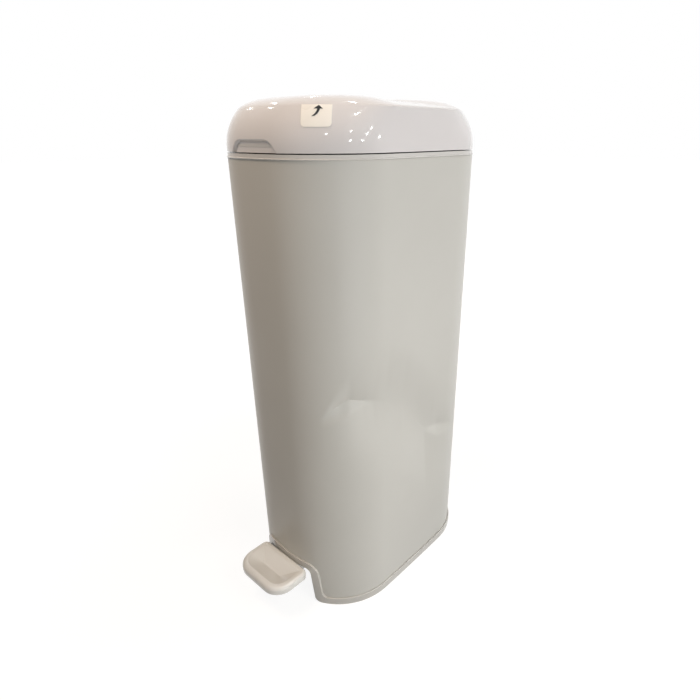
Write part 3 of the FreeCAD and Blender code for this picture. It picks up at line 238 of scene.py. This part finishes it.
def oval(name, inset, height, steps=(14, 28, 5)):
    """An edge loop on the body's plan: three arcs spun from one point and mirrored both ways."""
    side_turn = math.atan2(CORNER.y, CORNER.x + SIDE_RADIUS - HALF_WIDTH)
    end_turn = math.atan2(CORNER.y + END_RADIUS - HALF_LENGTH, CORNER.x)
    bpy.ops.object.select_all(action="DESELECT")
    bpy.ops.mesh.primitive_plane_add(size=0.001, location=(HALF_WIDTH - inset, 0, height))
    loop = bpy.context.object
    loop.name = loop.data.name = name
    bpy.context.tool_settings.mesh_select_mode = (True, False, False)
    bpy.ops.object.transform_apply(location=True)
    bpy.ops.object.mode_set(mode="EDIT")
    bpy.ops.mesh.merge(type="CENTER")
    for turn, centre, count in ((side_turn, (HALF_WIDTH - SIDE_RADIUS, 0), steps[0]),
                                (end_turn - side_turn, tuple(CORNER), steps[1]),
                                (math.pi / 2 - end_turn, (0, HALF_LENGTH - END_RADIUS), steps[2])):
        bpy.ops.mesh.spin(steps=count, angle=-turn, center=(*centre, height), axis=(0, 0, 1))
    apply(loop, "MIRROR", use_axis=(True, True, False), merge_threshold=2 * HAIR)
    return loop


def grasp(piece, wanted, kind="VERT"):
    """Select only the vertices, edges or faces that wanted() accepts, and enter edit mode."""
    bpy.ops.object.mode_set(mode="OBJECT")
    mesh = piece.data
    for group in (mesh.polygons, mesh.edges, mesh.vertices):
        group.foreach_set("select", [False] * len(group))
    bpy.context.tool_settings.mesh_select_mode = (kind == "VERT", kind == "EDGE", kind == "FACE")
    members = {"VERT": mesh.vertices, "EDGE": mesh.edges, "FACE": mesh.polygons}[kind]
    members.foreach_set("select", [bool(wanted(member)) for member in members])
    bpy.ops.object.mode_set(mode="EDIT")


def draw_up(piece, height, cuts):
    """Extrude the selected rim upwards, with so many extra rows in the new wall."""
    bpy.ops.mesh.extrude_region_move(TRANSFORM_OT_translate={"value": (0, 0, height)})
    top = max(v.co.z for v in piece.data.vertices) + height
    if cuts:
        ends = piece.data.vertices
        grasp(piece, lambda e: abs(ends[e.vertices[0]].co.z - ends[e.vertices[1]].co.z)
              > height / 2, "EDGE")
        bpy.ops.mesh.subdivide(number_cuts=cuts)
    grasp(piece, lambda v: v.co.z > top - HAIR)


def carve(piece, tool, operation="DIFFERENCE"):
    """Cut a piece with a tool shape, or join or keep what they share; the tool is then gone."""
    apply(piece, "BOOLEAN", object=tool, operation=operation, solver="EXACT")
    bpy.data.objects.remove(tool)


def block(name, low, high):
    """A plain block between two corners, to cut with or to shape further."""
    low, high = Vector(low), Vector(high)
    bpy.ops.object.select_all(action="DESELECT")
    bpy.ops.mesh.primitive_cube_add(size=1, location=(low + high) / 2, scale=high - low)
    piece = bpy.context.object
    piece.name = name
    bpy.ops.object.transform_apply(location=True, scale=True)
    return piece


def face_outwards(piece):
    """Make the faces agree, and turn them all if the one farthest right looks inwards."""
    bpy.ops.mesh.select_all(action="SELECT")
    bpy.ops.mesh.normals_make_consistent(inside=False)
    bpy.ops.object.mode_set(mode="OBJECT")
    if max(piece.data.polygons, key=lambda f: f.center.x).normal.x < 0:
        piece.data.flip_normals()


def smooth(piece, angle):
    """Shade a piece smooth, but for the edges sharper than an angle in degrees."""
    pick(piece)
    bpy.ops.object.shade_smooth_by_angle(angle=math.radians(angle))


# The stretch of a noise field that a finish drifts over, and its gloss field's coarseness.
DRIFT_LOW, DRIFT_HIGH = 0.3, 0.7
SMUDGE_SHARE = 0.6


def finish(name, dark, light, rough, mottle=9, grain=700, depth=0.00002, stretch=(1, 1, 1),
           **values):
    """A material that drifts between two tones, with a smudged gloss and a fine-grained skin."""
    material = bpy.data.materials.new(name)
    material.use_nodes = True
    nodes, links = material.node_tree.nodes, material.node_tree.links
    shader = nodes["Principled BSDF"]
    for socket, value in values.items():
        shader.inputs[socket.replace("_", " ")].default_value = value
    place = nodes.new("ShaderNodeTexCoord")
    mapping = nodes.new("ShaderNodeMapping")
    mapping.inputs["Scale"].default_value = stretch
    links.new(place.outputs["Object"], mapping.inputs["Vector"])
    fields = []
    for scale, detail in ((mottle, 4), (mottle * SMUDGE_SHARE, 3), (grain, 2)):
        field = nodes.new("ShaderNodeTexNoise")
        field.inputs["Scale"].default_value = scale
        field.inputs["Detail"].default_value = detail
        links.new(mapping.outputs["Vector"], field.inputs["Vector"])
        fields.append(field)
    tones = nodes.new("ShaderNodeValToRGB")
    stops = tones.color_ramp.elements
    for stop, position, tone in zip(stops, (DRIFT_LOW, DRIFT_HIGH), (dark, light)):
        stop.position = position
        stop.color = (*tone, 1)
    links.new(fields[0].outputs["Fac"], tones.inputs["Fac"])
    links.new(tones.outputs["Color"], shader.inputs["Base Color"])
    gloss = nodes.new("ShaderNodeMapRange")
    for socket, value in (("From Min", DRIFT_LOW), ("From Max", DRIFT_HIGH),
                          ("To Min", rough[0]), ("To Max", rough[1])):
        gloss.inputs[socket].default_value = value
    links.new(fields[1].outputs["Fac"], gloss.inputs["Value"])
    links.new(gloss.outputs["Result"], shader.inputs["Roughness"])
    skin = nodes.new("ShaderNodeBump")
    skin.inputs["Distance"].default_value = depth
    links.new(fields[2].outputs["Fac"], skin.inputs["Height"])
    links.new(skin.outputs["Normal"], shader.inputs["Normal"])
    return material


def dress(name, material):
    """Give a CAD node, by its name, or a new piece one material all over."""
    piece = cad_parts[name] if isinstance(name, str) else name
    piece.data.materials.clear()
    piece.data.materials.append(material)


body_paint = finish("body_paint", (0.585, 0.570, 0.525), (0.615, 0.600, 0.555), (0.34, 0.42),
                    mottle=6, grain=1500, depth=0.00001, Specular_IOR_Level=0.25, Coat_Weight=0.12,
                    Coat_Roughness=0.22)

steel_body = oval("steel_body", 0, WRAP_BOTTOM, (28, 36, 5))
bpy.ops.object.mode_set(mode="EDIT")
bpy.ops.mesh.select_all(action="SELECT")
draw_up(steel_body, DENT_LOW - WRAP_BOTTOM, 7)
draw_up(steel_body, FOLD_ROW - DENT_LOW, 79)
draw_up(steel_body, DENT_HIGH - FOLD_ROW, 59)
draw_up(steel_body, WRAP_TOP - DENT_HIGH, 11)
face_outwards(steel_body)

# Along the wall from the middle of the right side, towards the front where negative:
# place, height of the fold, its depth, how far the wall gives way above it, how far the
# steep facet under it reaches, the facet's share of the depth, and how sharp the fold is.
FOLD = [
    (-0.155, 0.302, 0.0000, 0.006, 0.010, 0.90, 1.0),
    (-0.149, 0.309, 0.0014, 0.008, 0.016, 0.90, 1.0),
    (-0.140, 0.317, 0.0050, 0.016, 0.020, 0.90, 1.0),
    (-0.132, 0.3197, 0.0082, 0.028, 0.019, 0.85, 1.0),
    (-0.120, 0.3248, 0.0108, 0.043, 0.017, 0.70, 1.0),
    (-0.100, 0.3194, 0.0118, 0.066, 0.006, 0.30, 0.9),
    (-0.082, 0.3164, 0.0104, 0.078, 0.006, 0.00, 0.5),
    (-0.061, 0.3080, 0.0086, 0.086, 0.006, 0.00, 0.1),
    (-0.028, 0.2867, 0.0074, 0.092, 0.006, 0.00, 0.0),
    (0.002, 0.2540, 0.0070, 0.098, 0.006, 0.00, 0.0),
    (0.025, 0.2290, 0.0070, 0.095, 0.006, 0.05, 0.2),
    (0.040, 0.2250, 0.0072, 0.084, 0.012, 0.50, 0.8),
    (0.052, 0.2230, 0.0070, 0.078, 0.018, 0.70, 1.0),
    (0.069, 0.2183, 0.0046, 0.078, 0.016, 0.70, 1.0),
    (0.090, 0.2111, 0.0015, 0.085, 0.012, 0.60, 1.0),
    (0.110, 0.2050, 0.0000, 0.100, 0.008, 0.60, 1.0),
]
FOLD_BELOW = 0.110
FOLD_FADE = 0.03
FACET_CURVE, FOLD_CURVE = 1.2, 2


def along_wall(x, y):
    """Distance along the right wall from its middle, on round the front corner."""
    if y > -CORNER.y:
        return y
    return -CORNER.y - CORNER_RADIUS * math.atan2(-CORNER.y - y, x - CORNER.x)


def fold_at(place):
    """The fold's figures at a place along the wall, read between the two nearest rows."""
    place = min(max(place, FOLD[0][0]), FOLD[-1][0])
    after = next(n for n in range(1, len(FOLD)) if place <= FOLD[n][0])
    low, high = FOLD[after - 1], FOLD[after]
    share = (place - low[0]) / (high[0] - low[0])
    return [a + (b - a) * share for a, b in zip(low[1:], high[1:])]


def ease(share):
    """A smooth rise from nought to one."""
    share = min(max(share, 0), 1)
    return share * share * (3 - 2 * share)


fold_front, fold_rear = FOLD[0][0] - FOLD_FADE, FOLD[-1][0] + FOLD_FADE
for vertex in steel_body.data.vertices:
    x, y, z = vertex.co
    place = along_wall(x, y)
    if x < 0 or not fold_front < place < fold_rear or not DENT_LOW < z < DENT_HIGH:
        continue
    crease, depth, give_above, facet, facet_share, sharp = fold_at(place)
    near = min(place - FOLD[0][0] + FOLD_FADE, FOLD[-1][0] + FOLD_FADE - place) / FOLD_FADE
    crease = FOLD_ROW + (crease - FOLD_ROW) * ease(near)
    if z > FOLD_ROW - HAIR:
        z = crease + (DENT_HIGH - crease) * (z - FOLD_ROW) / (DENT_HIGH - FOLD_ROW)
        gone = min(1, (z - crease) / give_above)
        press = sharp * (1 - gone) ** FOLD_CURVE + (1 - sharp) * (1 - ease(gone))
    else:
        z = crease - (crease - DENT_LOW) * (FOLD_ROW - z) / (FOLD_ROW - DENT_LOW)
        press = (facet_share * max(0, 1 - (crease - z) / facet) ** FACET_CURVE
                 + (1 - facet_share) * (1 - ease((crease - z) / FOLD_BELOW)))
    inward = Vector((-1, 0, 0))
    if y < -CORNER.y:
        inward = Vector((CORNER.x - x, -CORNER.y - y, 0)).normalized()
    vertex.co = Vector((x, y, z)) + inward * depth * press
apply(steel_body, "SOLIDIFY", thickness=STEEL_THICK, offset=-1)
carve(steel_body, block("notch", (-NOTCH_HALF, -BEYOND_WALL, -0.01),
                        (NOTCH_HALF, NOTCH_BACK, NOTCH_TOP)))
carve(steel_body, block("crank_slot", (-SLOT_HALF, SLOT_FRONT, SLOT_LOW),
                        (SLOT_HALF, BEYOND_WALL, WRAP_TOP + 0.01)))
smooth(steel_body, 40)
dress(steel_body, body_paint)
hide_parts("steel_wrap")
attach(steel_body, "pail")

# ------------------------------------------------------------------ base
# The moulded base the steel stands in: a proud band with a rolled upper edge, which
# lifts over the pedal in an arch, a skirt inside, a floor plate and a shelf.

base_plastic = finish("base_plastic", (0.560, 0.535, 0.495), (0.600, 0.575, 0.530), (0.20, 0.28),
                      Coat_Weight=0.2, Coat_Roughness=0.15)
inner_plastic = finish("inner_plastic", (0.42, 0.41, 0.39), (0.47, 0.46, 0.44), (0.42, 0.55),
                       grain=420, depth=0.00005)
dress("base_rim", base_plastic)
dress("base_plate", inner_plastic)
dress("inner_shelf", inner_plastic)

BASE_BEAD_RADIUS, BASE_BEAD_OUT, BASE_BEAD_HEIGHT, ARCH_HALF = 0.0012, 0.0011, 0.0098, 0.064


def roll_bead(loop, radius):
    """Turn an edge loop into a round bead, closed at its ends where the loop is open."""
    pick(loop)
    bpy.ops.object.convert(target="CURVE")
    wire = bpy.context.object.data
    wire.bevel_depth = radius
    wire.bevel_resolution = 3
    wire.use_fill_caps = True
    bpy.ops.object.convert(target="MESH")
    bead = bpy.context.object
    smooth(bead, 60)
    return bead


base_loop = oval("base_bead", -BASE_BEAD_OUT, BASE_BEAD_HEIGHT)
grasp(base_loop, lambda v: v.co.y < 0 and abs(v.co.x) < ARCH_HALF)
bpy.ops.mesh.delete(type="VERT")
base_bead = roll_bead(base_loop, BASE_BEAD_RADIUS)
dress(base_bead, base_plastic)
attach(base_bead, "pail")

# ------------------------------------------------------------------ pedal and drive
# A moulded pedal with a rolled rim and a four-sided hollow, on a steel lever
# that rocks on a pin in a steel bracket and lifts a push rod at the rear.

pedal_plastic = finish("pedal_plastic", (0.800, 0.775, 0.725), (0.840, 0.815, 0.765), (0.14, 0.20),
                       Coat_Weight=0.5, Coat_Roughness=0.08)
plated_steel = finish("plated_steel", (0.46, 0.46, 0.45), (0.60, 0.60, 0.58), (0.28, 0.42),
                      mottle=60, grain=900, depth=0.00002, stretch=(1, 6, 1), Metallic=1.0)
pin_steel = finish("pin_steel", (0.55, 0.55, 0.55), (0.66, 0.66, 0.65), (0.18, 0.30),
                   mottle=120, grain=1500, stretch=(0.2, 4, 4), Metallic=1.0)
for name in ("pedal_bracket", "pedal_lever", "hinge_bracket", "lid_arm"):
    dress(name, plated_steel)
for name in ("pedal_pin", "push_rod", "hinge_pin", "jaw_pin_left", "jaw_pin_right", "filter_pin"):
    dress(name, pin_steel)
for name in ("rod_guide_lower", "rod_guide_upper"):
    dress(name, inner_plastic)

PEDAL_HALF, PEDAL_FRONT, PEDAL_BACK = 0.0465, 0.2180, 0.1616
PEDAL_LOW, PEDAL_TOP = 0.0495, 0.0625
PEDAL_CORNER, PEDAL_REAR_CORNER = 0.026, 0.0085
PEDAL_ROLL, PEDAL_UNDER_ROLL, PEDAL_CREST = 0.0055, 0.0025, 0.0030
HOLLOW_DEPTH, HOLLOW_RIDGE, HOLLOW_CREASE = 0.0080, 0.48, 0.02
TONGUE_HALF, TONGUE_FRONT, TONGUE_BACK = 0.0135, 0.1700, 0.1256
TONGUE_LOW, TONGUE_TOP, TONGUE_EDGE = 0.0360, 0.0515, 0.0012


def round_edges(piece, wanted, radius, segments):
    """Round off the edges whose two end points wanted() accepts."""
    points = piece.data.vertices
    grasp(piece, lambda e: wanted(*(points[n].co for n in e.vertices)), "EDGE")
    bpy.ops.mesh.bevel(offset=radius, segments=segments, affect="EDGES")


pedal_pad = block("pedal_pad", (-PEDAL_HALF, -PEDAL_FRONT, PEDAL_LOW),
                  (PEDAL_HALF, -PEDAL_BACK, PEDAL_TOP))
middle = -(PEDAL_FRONT + PEDAL_BACK) / 2
round_edges(pedal_pad, lambda a, b: abs(a.z - b.z) > PEDAL_ROLL and a.y < middle,
            PEDAL_CORNER, 12)
round_edges(pedal_pad, lambda a, b: abs(a.z - b.z) > PEDAL_ROLL and a.y > -PEDAL_BACK - HAIR,
            PEDAL_REAR_CORNER, 5)
round_edges(pedal_pad, lambda a, b: min(a.z, b.z) > PEDAL_TOP - HAIR, PEDAL_ROLL, 7)
round_edges(pedal_pad, lambda a, b: max(a.z, b.z) < PEDAL_LOW + HAIR, PEDAL_UNDER_ROLL, 4)
grasp(pedal_pad, lambda f: f.normal.z > 0.999 and f.center.z > PEDAL_TOP - HAIR, "FACE")
bpy.ops.mesh.inset(thickness=PEDAL_CREST)
bpy.ops.mesh.extrude_region_move(TRANSFORM_OT_translate={"value": (0, 0, -HOLLOW_DEPTH)})
bpy.ops.transform.resize(value=(HOLLOW_RIDGE, HOLLOW_CREASE, 1),
                         center_override=(0, middle, PEDAL_TOP))
bpy.ops.object.mode_set(mode="OBJECT")
tongue = block("tongue", (-TONGUE_HALF, -TONGUE_FRONT, TONGUE_LOW),
               (TONGUE_HALF, -TONGUE_BACK, TONGUE_TOP))
round_edges(tongue, lambda a, b: True, TONGUE_EDGE, 3)
carve(pedal_pad, tongue, "UNION")
smooth(pedal_pad, 19)
dress(pedal_pad, pedal_plastic)
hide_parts("pedal")
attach(pedal_pad, "pedal_arm")

# ------------------------------------------------------------------ top frame
# The moulded ring that closes the body under the lid. Its outer edge shows as
# a light trim line with a rolled lower edge.

rim_plastic = finish("rim_plastic", (0.600, 0.575, 0.540), (0.640, 0.615, 0.580), (0.16, 0.24),
                     Coat_Weight=0.4, Coat_Roughness=0.08)
dress("top_frame", rim_plastic)

RIM_BEAD_RADIUS, RIM_BEAD_OUT, RIM_BEAD_HEIGHT = 0.0009, 0.0002, 0.5950

rim_bead = roll_bead(oval("rim_bead", -RIM_BEAD_OUT, RIM_BEAD_HEIGHT), RIM_BEAD_RADIUS)
dress(rim_bead, rim_plastic)
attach(rim_bead, "top")

# ------------------------------------------------------------------ lid
# A glossy moulded dome. Its corners and ends lean in as they rise to a crease, the
# roof swells gently from the crease to its middle, and a recess is set in the front.

LID_BOTTOM, LEAN_START, LEAN_RISE, CREASE = 0.6006, 0.6039, 0.0592, 0.6443
LEAN_IN, LEAN_FROM, LEAN_FULL = 0.0645, 0.033, 0.117
ROOF_RISE, SIDE_SWELL, END_SWELL = 0.0111, 2.0, 8.7
WALL_ROWS, LEAN_ROWS = 2, 14
RECESS_FLOOR_HALF, RECESS_TOP_HALF, RECESS_TOP = 0.038, 0.027, 0.6135
RECESS_BOTTOM, RECESS_CORNER, RECESS_DEPTH, RECESS_EDGE = 0.6, 0.006, 0.0028, 0.0030
RECESS_BEHIND, FINE_HALF, FINE_TOP = -0.12, 0.045, 0.618
LID_THICK, CREASE_ROUND = 0.0025, 0.0014
WINDOW_HALF, WINDOW_LOW, WINDOW_TOP, WINDOW_FRONT = 0.0123, 0.599, 0.6065, 0.15
ROOF_RINGS = (0.985, 0.965, 0.94, 0.905, 0.86, 0.80, 0.72, 0.62, 0.50, 0.36, 0.20, 0.08)

lid_plastic = finish("lid_plastic", (0.700, 0.662, 0.648), (0.730, 0.692, 0.678), (0.07, 0.12),
                     mottle=5, grain=300, depth=0.000006, Coat_Weight=0.6, Coat_Roughness=0.03)


def leaning(y):
    """How near to an end of the lid a place is: nought beside the middle, one at the ends."""
    return ease((abs(y) - LEAN_FROM) / (LEAN_FULL - LEAN_FROM))


def outward(x, y):
    """The way the body's plan faces at a point on it."""
    if abs(x) < CORNER.x:
        way = Vector((abs(x), abs(y) - HALF_LENGTH + END_RADIUS, 0))
    elif abs(y) < CORNER.y:
        way = Vector((abs(x) - HALF_WIDTH + SIDE_RADIUS, abs(y), 0))
    else:
        way = Vector((abs(x) - CORNER.x, abs(y) - CORNER.y, 0))
    return Vector((math.copysign(way.x, x), math.copysign(way.y, y), 0)).normalized()


def recess_edge(x, z):
    """Distance outside the recess's outline, negative inside it."""
    rise = z - RECESS_BOTTOM
    slope = Vector((RECESS_TOP - RECESS_BOTTOM, RECESS_FLOOR_HALF - RECESS_TOP_HALF)).normalized()
    beside = (abs(x) - RECESS_FLOOR_HALF) * slope.x + rise * slope.y + RECESS_CORNER
    over = z - RECESS_TOP + RECESS_CORNER
    if beside > 0 and over > 0:
        return math.hypot(beside, over) - RECESS_CORNER
    return max(beside, over) - RECESS_CORNER


lid_dome = oval("lid_dome", 0, 0)
bpy.ops.object.mode_set(mode="EDIT")
bpy.ops.mesh.select_all(action="SELECT")
draw_up(lid_dome, WALL_ROWS + LEAN_ROWS, WALL_ROWS + LEAN_ROWS - 1)
bpy.ops.object.mode_set(mode="OBJECT")
full_lean = math.asin((CREASE - LEAN_START) / LEAN_RISE)
for vertex in lid_dome.data.vertices:
    x, y, row = vertex.co.x, vertex.co.y, round(vertex.co.z)
    lean = full_lean * max(0, row - WALL_ROWS) / LEAN_ROWS
    vertex.co -= outward(x, y) * LEAN_IN * (1 - math.cos(lean)) * leaning(y)
    vertex.co.z = (LEAN_START + LEAN_RISE * math.sin(lean) if lean
                   else LID_BOTTOM + (LEAN_START - LID_BOTTOM) * row / WALL_ROWS)
wall_points = len(lid_dome.data.vertices)
grasp(lid_dome, lambda v: v.co.z > CREASE - 2 * HAIR)
ring_size = 1.0
for target in ROOF_RINGS:
    bpy.ops.mesh.extrude_edges_move()
    bpy.ops.transform.resize(value=(target / ring_size, target / ring_size, 1),
                             center_override=(0, 0, 0))
    ring_size = target
bpy.ops.mesh.extrude_edges_move()
bpy.ops.mesh.merge(type="CENTER")
face_outwards(lid_dome)
crease_ring = [v for v in lid_dome.data.vertices[:wall_points] if v.co.z > CREASE - 2 * HAIR]
ring_facing = sorted((math.atan2(v.co.y, v.co.x), math.hypot(v.co.x, v.co.y), v.co.y)
                     for v in crease_ring)
for vertex in lid_dome.data.vertices[wall_points:]:
    facing = math.atan2(vertex.co.y, vertex.co.x)
    _, edge_reach, edge_y = min(ring_facing, key=lambda point: abs(point[0] - facing))
    swell = SIDE_SWELL + (END_SWELL - SIDE_SWELL) * leaning(edge_y)
    part = min(1, math.hypot(vertex.co.x, vertex.co.y) / edge_reach)
    vertex.co.z = CREASE + ROOF_RISE * (1 - part ** swell)
on_crease = {v.index for v in crease_ring}
grasp(lid_dome, lambda e: on_crease.issuperset(e.vertices), "EDGE")
bpy.ops.mesh.bevel(offset=CREASE_ROUND, segments=3, affect="EDGES")
grasp(lid_dome, lambda f: f.center.y < RECESS_BEHIND and abs(f.center.x) < FINE_HALF
      and f.center.z < FINE_TOP, "FACE")
bpy.ops.mesh.subdivide(number_cuts=4)
bpy.ops.object.mode_set(mode="OBJECT")
for vertex in lid_dome.data.vertices:
    if vertex.co.y < RECESS_BEHIND:
        vertex.co.y += RECESS_DEPTH * ease(-recess_edge(vertex.co.x, vertex.co.z) / RECESS_EDGE)


def double(piece, name):
    """A copy of a piece, with its own mesh and name."""
    twin = piece.copy()
    twin.data = piece.data.copy()
    twin.name = twin.data.name = name
    bpy.context.scene.collection.objects.link(twin)
    return twin


lid_skin = double(lid_dome, "lid_skin")
apply(lid_dome, "SOLIDIFY", thickness=LID_THICK, offset=-1)
carve(lid_dome, block("arm_window", (-WINDOW_HALF, WINDOW_FRONT, WINDOW_LOW),
                      (WINDOW_HALF, BEYOND_WALL, WINDOW_TOP)))
smooth(lid_dome, 30)
dress(lid_dome, lid_plastic)
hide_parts("lid_shell")
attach(lid_dome, "lid")

seal_rubber = finish("seal_rubber", (0.05, 0.05, 0.052), (0.08, 0.08, 0.082), (0.55, 0.70),
                     grain=900, depth=0.00004)
carbon_felt = finish("carbon_felt", (0.018, 0.018, 0.018), (0.05, 0.05, 0.05), (0.80, 0.95),
                     mottle=400, grain=1600, depth=0.0003)
tray_plastic = finish("tray_plastic", (0.66, 0.65, 0.63), (0.71, 0.70, 0.68), (0.30, 0.42),
                      grain=420, depth=0.00003)
for name in ("lid_pan", "filter_housing", "filter_door", "clamp_tray"):
    dress(name, tray_plastic)
dress("lid_gasket", seal_rubber)
dress("carbon_filter", carbon_felt)

# ------------------------------------------------------------------ lift tab
# A thin film tab with round lower corners, stuck down the lid's front corner from
# the crease, and printed with a plain curved arrow for the way the lid lifts.

TAB_SPOT, TAB_FACING = Vector((0.0742, -0.1358, 0.6342)), math.radians(-50.5)
TAB_HALF, TAB_DROP, TAB_RISE, TAB_ROUND = 0.0149, 0.0100, 0.0099, 0.0038
FILM_THICK, ARROW_THICK, TOOL_REACH = 0.0005, 0.0008, 0.03
# The arrow's outline, across the tab and up it, from the tip of its head.
ARROW = [(0.0021, 0.0094), (-0.0027, 0.0061), (0.0009, 0.0061), (0.0005, 0.0044),
         (-0.0005, 0.0028), (-0.0020, 0.0012), (-0.0046, -0.0007), (-0.0015, -0.0002),
         (0.0011, 0.0014), (0.0027, 0.0038), (0.0034, 0.0061), (0.0063, 0.0060)]

tab_film = finish("tab_film", (0.955, 0.915, 0.84), (0.975, 0.935, 0.86), (0.22, 0.30), grain=500)
ink = finish("ink", (0.008, 0.008, 0.008), (0.014, 0.013, 0.012), (0.35, 0.5))


def stuck_on(name, tool, thick):
    """The part of the lid's skin inside a tool shape, as a film of its own thickness."""
    film = double(lid_skin, name)
    apply(film, "SOLIDIFY", thickness=thick, offset=1)
    carve(film, tool, "INTERSECT")
    smooth(film, 40)
    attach(film, "lid")
    return film


def turn_to_tab(tool):
    """Turn a tool made upright at the origin, facing along X, to stand through the tab's place."""
    pick(tool)
    tool.matrix_world = Matrix.Translation(TAB_SPOT) @ Matrix.Rotation(TAB_FACING, 4, "Z")
    bpy.ops.object.transform_apply(location=True, rotation=True)
    return tool


tab_tool = block("tab_tool", (-TOOL_REACH, -TAB_HALF, -TAB_DROP), (TOOL_REACH, TAB_HALF, TAB_RISE))
round_edges(tab_tool, lambda a, b: max(a.z, b.z) < 0 and abs(a.x - b.x) > TOOL_REACH, TAB_ROUND, 6)
lift_tab = stuck_on("lift_tab", turn_to_tab(tab_tool), FILM_THICK)
dress(lift_tab, tab_film)
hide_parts("lid_label")

bpy.ops.object.select_all(action="DESELECT")
bpy.ops.mesh.primitive_circle_add(vertices=len(ARROW), radius=TAB_DROP, fill_type="NGON")
arrow_tool = bpy.context.object
for vertex, (across, up) in zip(arrow_tool.data.vertices, ARROW):
    vertex.co = (TOOL_REACH, across, up)
bpy.ops.object.mode_set(mode="EDIT")
bpy.ops.mesh.select_all(action="SELECT")
bpy.ops.mesh.extrude_region_move(TRANSFORM_OT_translate={"value": (-2 * TOOL_REACH, 0, 0)})
face_outwards(arrow_tool)
lift_arrow = stuck_on("lift_arrow", turn_to_tab(arrow_tool), ARROW_THICK)
dress(lift_arrow, ink)
bpy.data.objects.remove(lid_skin)

# ------------------------------------------------------------------ jaws, cassette and cutter
# Under the tray two sprung jaws close the throat; a ring cassette in the tray
# feeds pleated film, and a small slide on the frame cuts it off.

jaw_plastic = finish("jaw_plastic", (0.20, 0.21, 0.23), (0.25, 0.26, 0.28), (0.38, 0.52),
                     grain=420, depth=0.00004)
film_blue = finish("film_blue", (0.42, 0.52, 0.62), (0.55, 0.64, 0.72), (0.18, 0.34),
                   mottle=50, grain=160, depth=0.0004, stretch=(1, 1, 0.05))
cutter_plastic = finish("cutter_plastic", (0.46, 0.10, 0.07), (0.52, 0.13, 0.09), (0.25, 0.36))
for name in ("jaw_left", "jaw_right"):
    dress(name, jaw_plastic)
for name in ("jaw_lip_left", "jaw_lip_right"):
    dress(name, seal_rubber)
dress("film_cassette", film_blue)
dress("film_cutter", cutter_plastic)
dress("cutter_blade", pin_steel)

# ------------------------------------------------------------------ bucket
# A removable moulded bucket with a rolled rim and a swinging strap handle that
# has a rubbery grip at its middle.

bucket_plastic = finish("bucket_plastic", (0.50, 0.52, 0.53), (0.56, 0.58, 0.59), (0.34, 0.46),
                        grain=420, depth=0.00005)
grip_rubber = finish("grip_rubber", (0.10, 0.105, 0.11), (0.14, 0.145, 0.15), (0.5, 0.65),
                     grain=600, depth=0.00006)
dress("inner_bucket", bucket_plastic)
dress("bucket_handle", bucket_plastic)
dress("handle_grip", grip_rubber)

# ------------------------------------------------------------------ screws
# Small pan-head screws with a cross recess hold the shelf, the lever on the
# pedal's tongue, the tray, the hinge bracket and the lid's arm.

SCREW_RADIUS, SCREW_HEIGHT, SCREW_ROUND = 0.0030, 0.0016, 0.0009
DRIVE_HALF, DRIVE_WIDE, DRIVE_DEEP = 0.0017, 0.0003, 0.0008
SHELF_TOP, SHELF_ACROSS, SHELF_ALONG = 0.0790, 0.090, 0.070
LEVER_LOW, LEVER_PLACES = 0.0240, (-0.1476, -0.1316)
TRAY_LOW, TRAY_ACROSS, TRAY_ALONG = 0.5922, 0.070, 0.056
BRACKET_BACK, BRACKET_ACROSS, BRACKET_HIGH = 0.1632, 0.0118, 0.5702
ARM_LOW, ARM_ACROSS, ARM_PLACE = 0.6017, 0.0075, 0.1415


def screw(name, place, facing, body):
    """A pan-head screw that stands on a surface at a place and faces away from it."""
    bpy.ops.object.select_all(action="DESELECT")
    bpy.ops.mesh.primitive_cylinder_add(vertices=32, radius=SCREW_RADIUS, depth=SCREW_HEIGHT)
    head = bpy.context.object
    round_edges(head, lambda a, b: min(a.z, b.z) > 0, SCREW_ROUND, 4)
    bpy.ops.object.mode_set(mode="OBJECT")
    for across, along in ((DRIVE_HALF, DRIVE_WIDE), (DRIVE_WIDE, DRIVE_HALF)):
        carve(head, block("drive", (-across, -along, SCREW_HEIGHT / 2 - DRIVE_DEEP),
                          (across, along, SCREW_HEIGHT)))
    facing = Vector(facing)
    pick(head)
    head.matrix_world = (Matrix.Translation(Vector(place) + facing * SCREW_HEIGHT / 2)
                         @ facing.to_track_quat("Z", "Y").to_matrix().to_4x4())
    bpy.ops.object.transform_apply(location=True, rotation=True)
    head.name = head.data.name = name
    smooth(head, 40)
    dress(head, pin_steel)
    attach(head, body)


UP, DOWN, REARWARD = (0, 0, 1), (0, 0, -1), (0, 1, 0)
for name, places, facing, body in (
        ("shelf_screw", [(x, y, SHELF_TOP) for x in (-SHELF_ACROSS, SHELF_ACROSS)
                         for y in (-SHELF_ALONG, SHELF_ALONG)], UP, "pail"),
        ("pedal_screw", [(0, y, LEVER_LOW) for y in LEVER_PLACES], DOWN, "pedal_arm"),
        ("tray_screw", [(x, y, TRAY_LOW) for x in (-TRAY_ACROSS, TRAY_ACROSS)
                        for y in (-TRAY_ALONG, TRAY_ALONG)], DOWN, "top"),
        ("bracket_screw", [(x, BRACKET_BACK, BRACKET_HIGH)
                           for x in (-BRACKET_ACROSS, BRACKET_ACROSS)], REARWARD, "pail"),
        ("arm_screw", [(x, ARM_PLACE, ARM_LOW) for x in (-ARM_ACROSS, ARM_ACROSS)],
         DOWN, "lid")):
    for number, place in enumerate(places, start=1):
        screw(f"{name}_{number}", place, facing, body)
